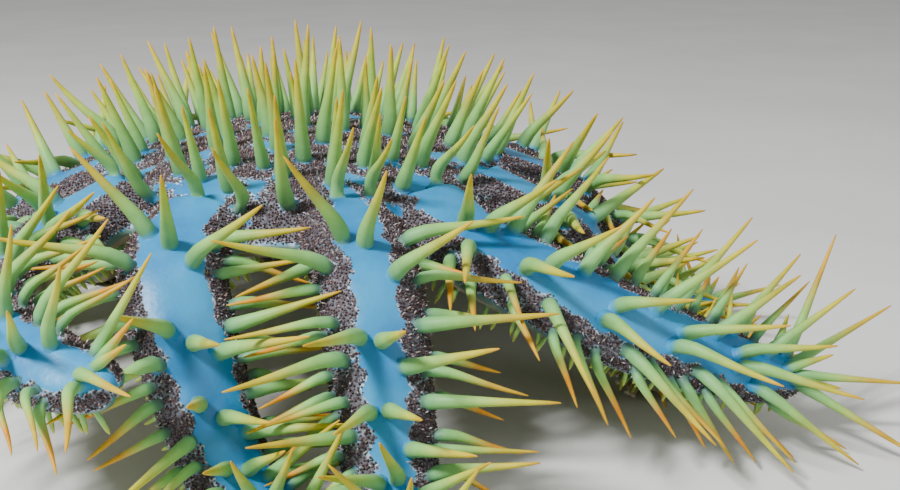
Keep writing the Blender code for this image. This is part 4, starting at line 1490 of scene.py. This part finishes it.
class STARFISH_OT_papulae(bpy.types.Operator):
    """Build the soft dark papulae and the pale pincers among them"""

    bl_idname = "starfish.papulae"
    bl_label = "Papulae and pincers"

    def execute(self, context):
        settings = context.scene.starfish_papulae
        roots, normals, patch, owners, rng = scatter(settings.density, settings.spacing, 11, *PAPULA_MASK)
        count = len(roots)
        heights = settings.height * rng.uniform(0.7, 1.3, count) * (0.5 + 0.5 * smooth((patch - 0.4) / 0.3))
        radii = settings.radius * rng.uniform(0.8, 1.2, count)
        aims = unit(normals + rng.normal(0, 0.16, (count, 3)))
        pales = 0.55 * smooth((0.85 - patch) / 0.3) + 0.45 * smooth(0.3 + 1.4 * noise_at(roots, 0.006, 21.0))
        pales = pales - 0.08 + rng.uniform(-0.45, 0.45, count)
        finish = tuft_material("papulae", *PAPULA_TONES)
        tufts = (roots, aims, owners, heights, radii, rng.random(count), pales)
        tuft_pieces("papulae", finish, tufts, PAPULA_PROFILE)
        roots, normals, _, owners, rng = scatter(settings.density, settings.pincer_spacing, 12, *PINCER_MASK)
        count = len(roots)
        heights = settings.pincer_height * rng.uniform(0.7, 1.3, count)
        radii = settings.pincer_radius * rng.uniform(0.8, 1.3, count)
        aims = unit(normals + rng.normal(0, 0.55, (count, 3)))
        finish = tuft_material("pincers", *PINCER_TONES)
        tufts = (roots, aims, owners, heights, radii, rng.random(count), np.zeros(count))
        tuft_pieces("pincers", finish, tufts, PINCER_PROFILE)
        return {"FINISHED"}


class STARFISH_OT_feet(bpy.types.Operator):
    """Build the tube feet, the spines that line their grooves, and the mouth's jaws"""

    bl_idname = "starfish.feet"
    bl_label = "Tube feet and mouth"

    def execute(self, context):
        settings = context.scene.starfish_feet
        finish = foot_material(settings)
        groove_pieces(settings, finish)
        jaws = []
        for arm in ARMS:
            for turn, reach in JAW_PLACES:
                out = outward(math.radians(arm.azimuth) + math.pi / len(ARMS) + turn)
                root = over_disc(out, reach, hollow_height(0) + GROOVE_DEPTH * 0.9)
                jaws.append((root, unit(-out * 0.45 - np.array([0, 0, 1.0])), JAW_LENGTH))
        add_pegs("mouth_jaws", "tube_feet", finish, jaws, JAW_PROFILE, JAW_RADIUS, 9, 1.0, "mouth")
        return {"FINISHED"}


def facing(back):
    """The turn of a light or camera that looks the other way from a direction."""
    return back.to_track_quat("Z", "Y").to_euler()


class STARFISH_OT_stage(bpy.types.Operator):
    """Build the floor, the lights and the camera"""

    bl_idname = "starfish.stage"
    bl_label = "Stage"

    def execute(self, context):
        settings = context.scene.starfish_stage
        bpy.ops.mesh.primitive_plane_add(size=FLOOR_SIZE, location=(0, 0, 0))
        floor = context.object
        floor.name = "floor"
        finish, tree, inputs = new_material("floor", 0.75)
        tree.links.new(mottled(tree, settings.floor, FLOOR_DEEP, 9.0, 0.5), inputs["Base Color"])
        floor.data.materials.append(finish)
        target = Vector(DISC_CENTRE) + Vector(CAMERA_TARGET)
        powers = {"key": settings.key_power, "fill": settings.fill_power}
        for name, place, size in LIGHTS:
            data = bpy.data.lights.new(name, "AREA")
            data.energy = powers[name]
            data.size = size
            light = bpy.data.objects.new(name, data)
            light.location = place
            light.rotation_euler = facing(Vector(place) - target)
            context.scene.collection.objects.link(light)
        world = bpy.data.worlds.new("surround")
        world.use_nodes = True
        shader = world.node_tree.nodes["Background"]
        shader.inputs["Color"].default_value = (1, 1, 1, 1)
        shader.inputs["Strength"].default_value = settings.surround
        context.scene.world = world
        data = bpy.data.cameras.new("camera")
        data.sensor_width = SENSOR_WIDTH
        data.lens = data.sensor_width / 2 / math.tan(settings.view_angle / 2)
        data.clip_start = 0.01
        camera = bpy.data.objects.new("camera", data)
        back = Vector((0, -math.cos(settings.elevation), math.sin(settings.elevation)))
        camera.location = target + back * settings.distance
        camera.rotation_euler = facing(back)
        context.scene.collection.objects.link(camera)
        context.scene.camera = camera
        return {"FINISHED"}


class STARFISH_PT_panel(bpy.types.Panel):
    """The starfish's operators, in the order that they are run"""

    bl_idname = "STARFISH_PT_panel"
    bl_label = "Starfish"
    bl_space_type = "VIEW_3D"
    bl_region_type = "UI"
    bl_category = "Starfish"

    def draw(self, context):
        for operator in OPERATORS:
            self.layout.operator(operator.bl_idname)


OPERATORS = (
    STARFISH_OT_skin,
    STARFISH_OT_spines,
    STARFISH_OT_papulae,
    STARFISH_OT_feet,
    STARFISH_OT_stage,
)
SETTINGS = {
    "starfish_skin": StarfishSkinSettings,
    "starfish_spines": StarfishSpineSettings,
    "starfish_papulae": StarfishPapulaeSettings,
    "starfish_feet": StarfishFootSettings,
    "starfish_stage": StarfishStageSettings,
}


def register():
    for group in SETTINGS.values():
        bpy.utils.register_class(group)
    for operator in OPERATORS:
        bpy.utils.register_class(operator)
    bpy.utils.register_class(STARFISH_PT_panel)
    for name, group in SETTINGS.items():
        setattr(bpy.types.Scene, name, PointerProperty(type=group))


def unregister():
    for name in SETTINGS:
        delattr(bpy.types.Scene, name)
    bpy.utils.unregister_class(STARFISH_PT_panel)
    for operator in reversed(OPERATORS):
        bpy.utils.unregister_class(operator)
    for group in reversed(list(SETTINGS.values())):
        bpy.utils.unregister_class(group)


def main():
    register()
    bpy.ops.starfish.skin()
    bpy.ops.starfish.spines()
    bpy.ops.starfish.papulae()
    bpy.ops.starfish.feet()
    bpy.ops.starfish.stage()


if __name__ == "__main__":
    main()
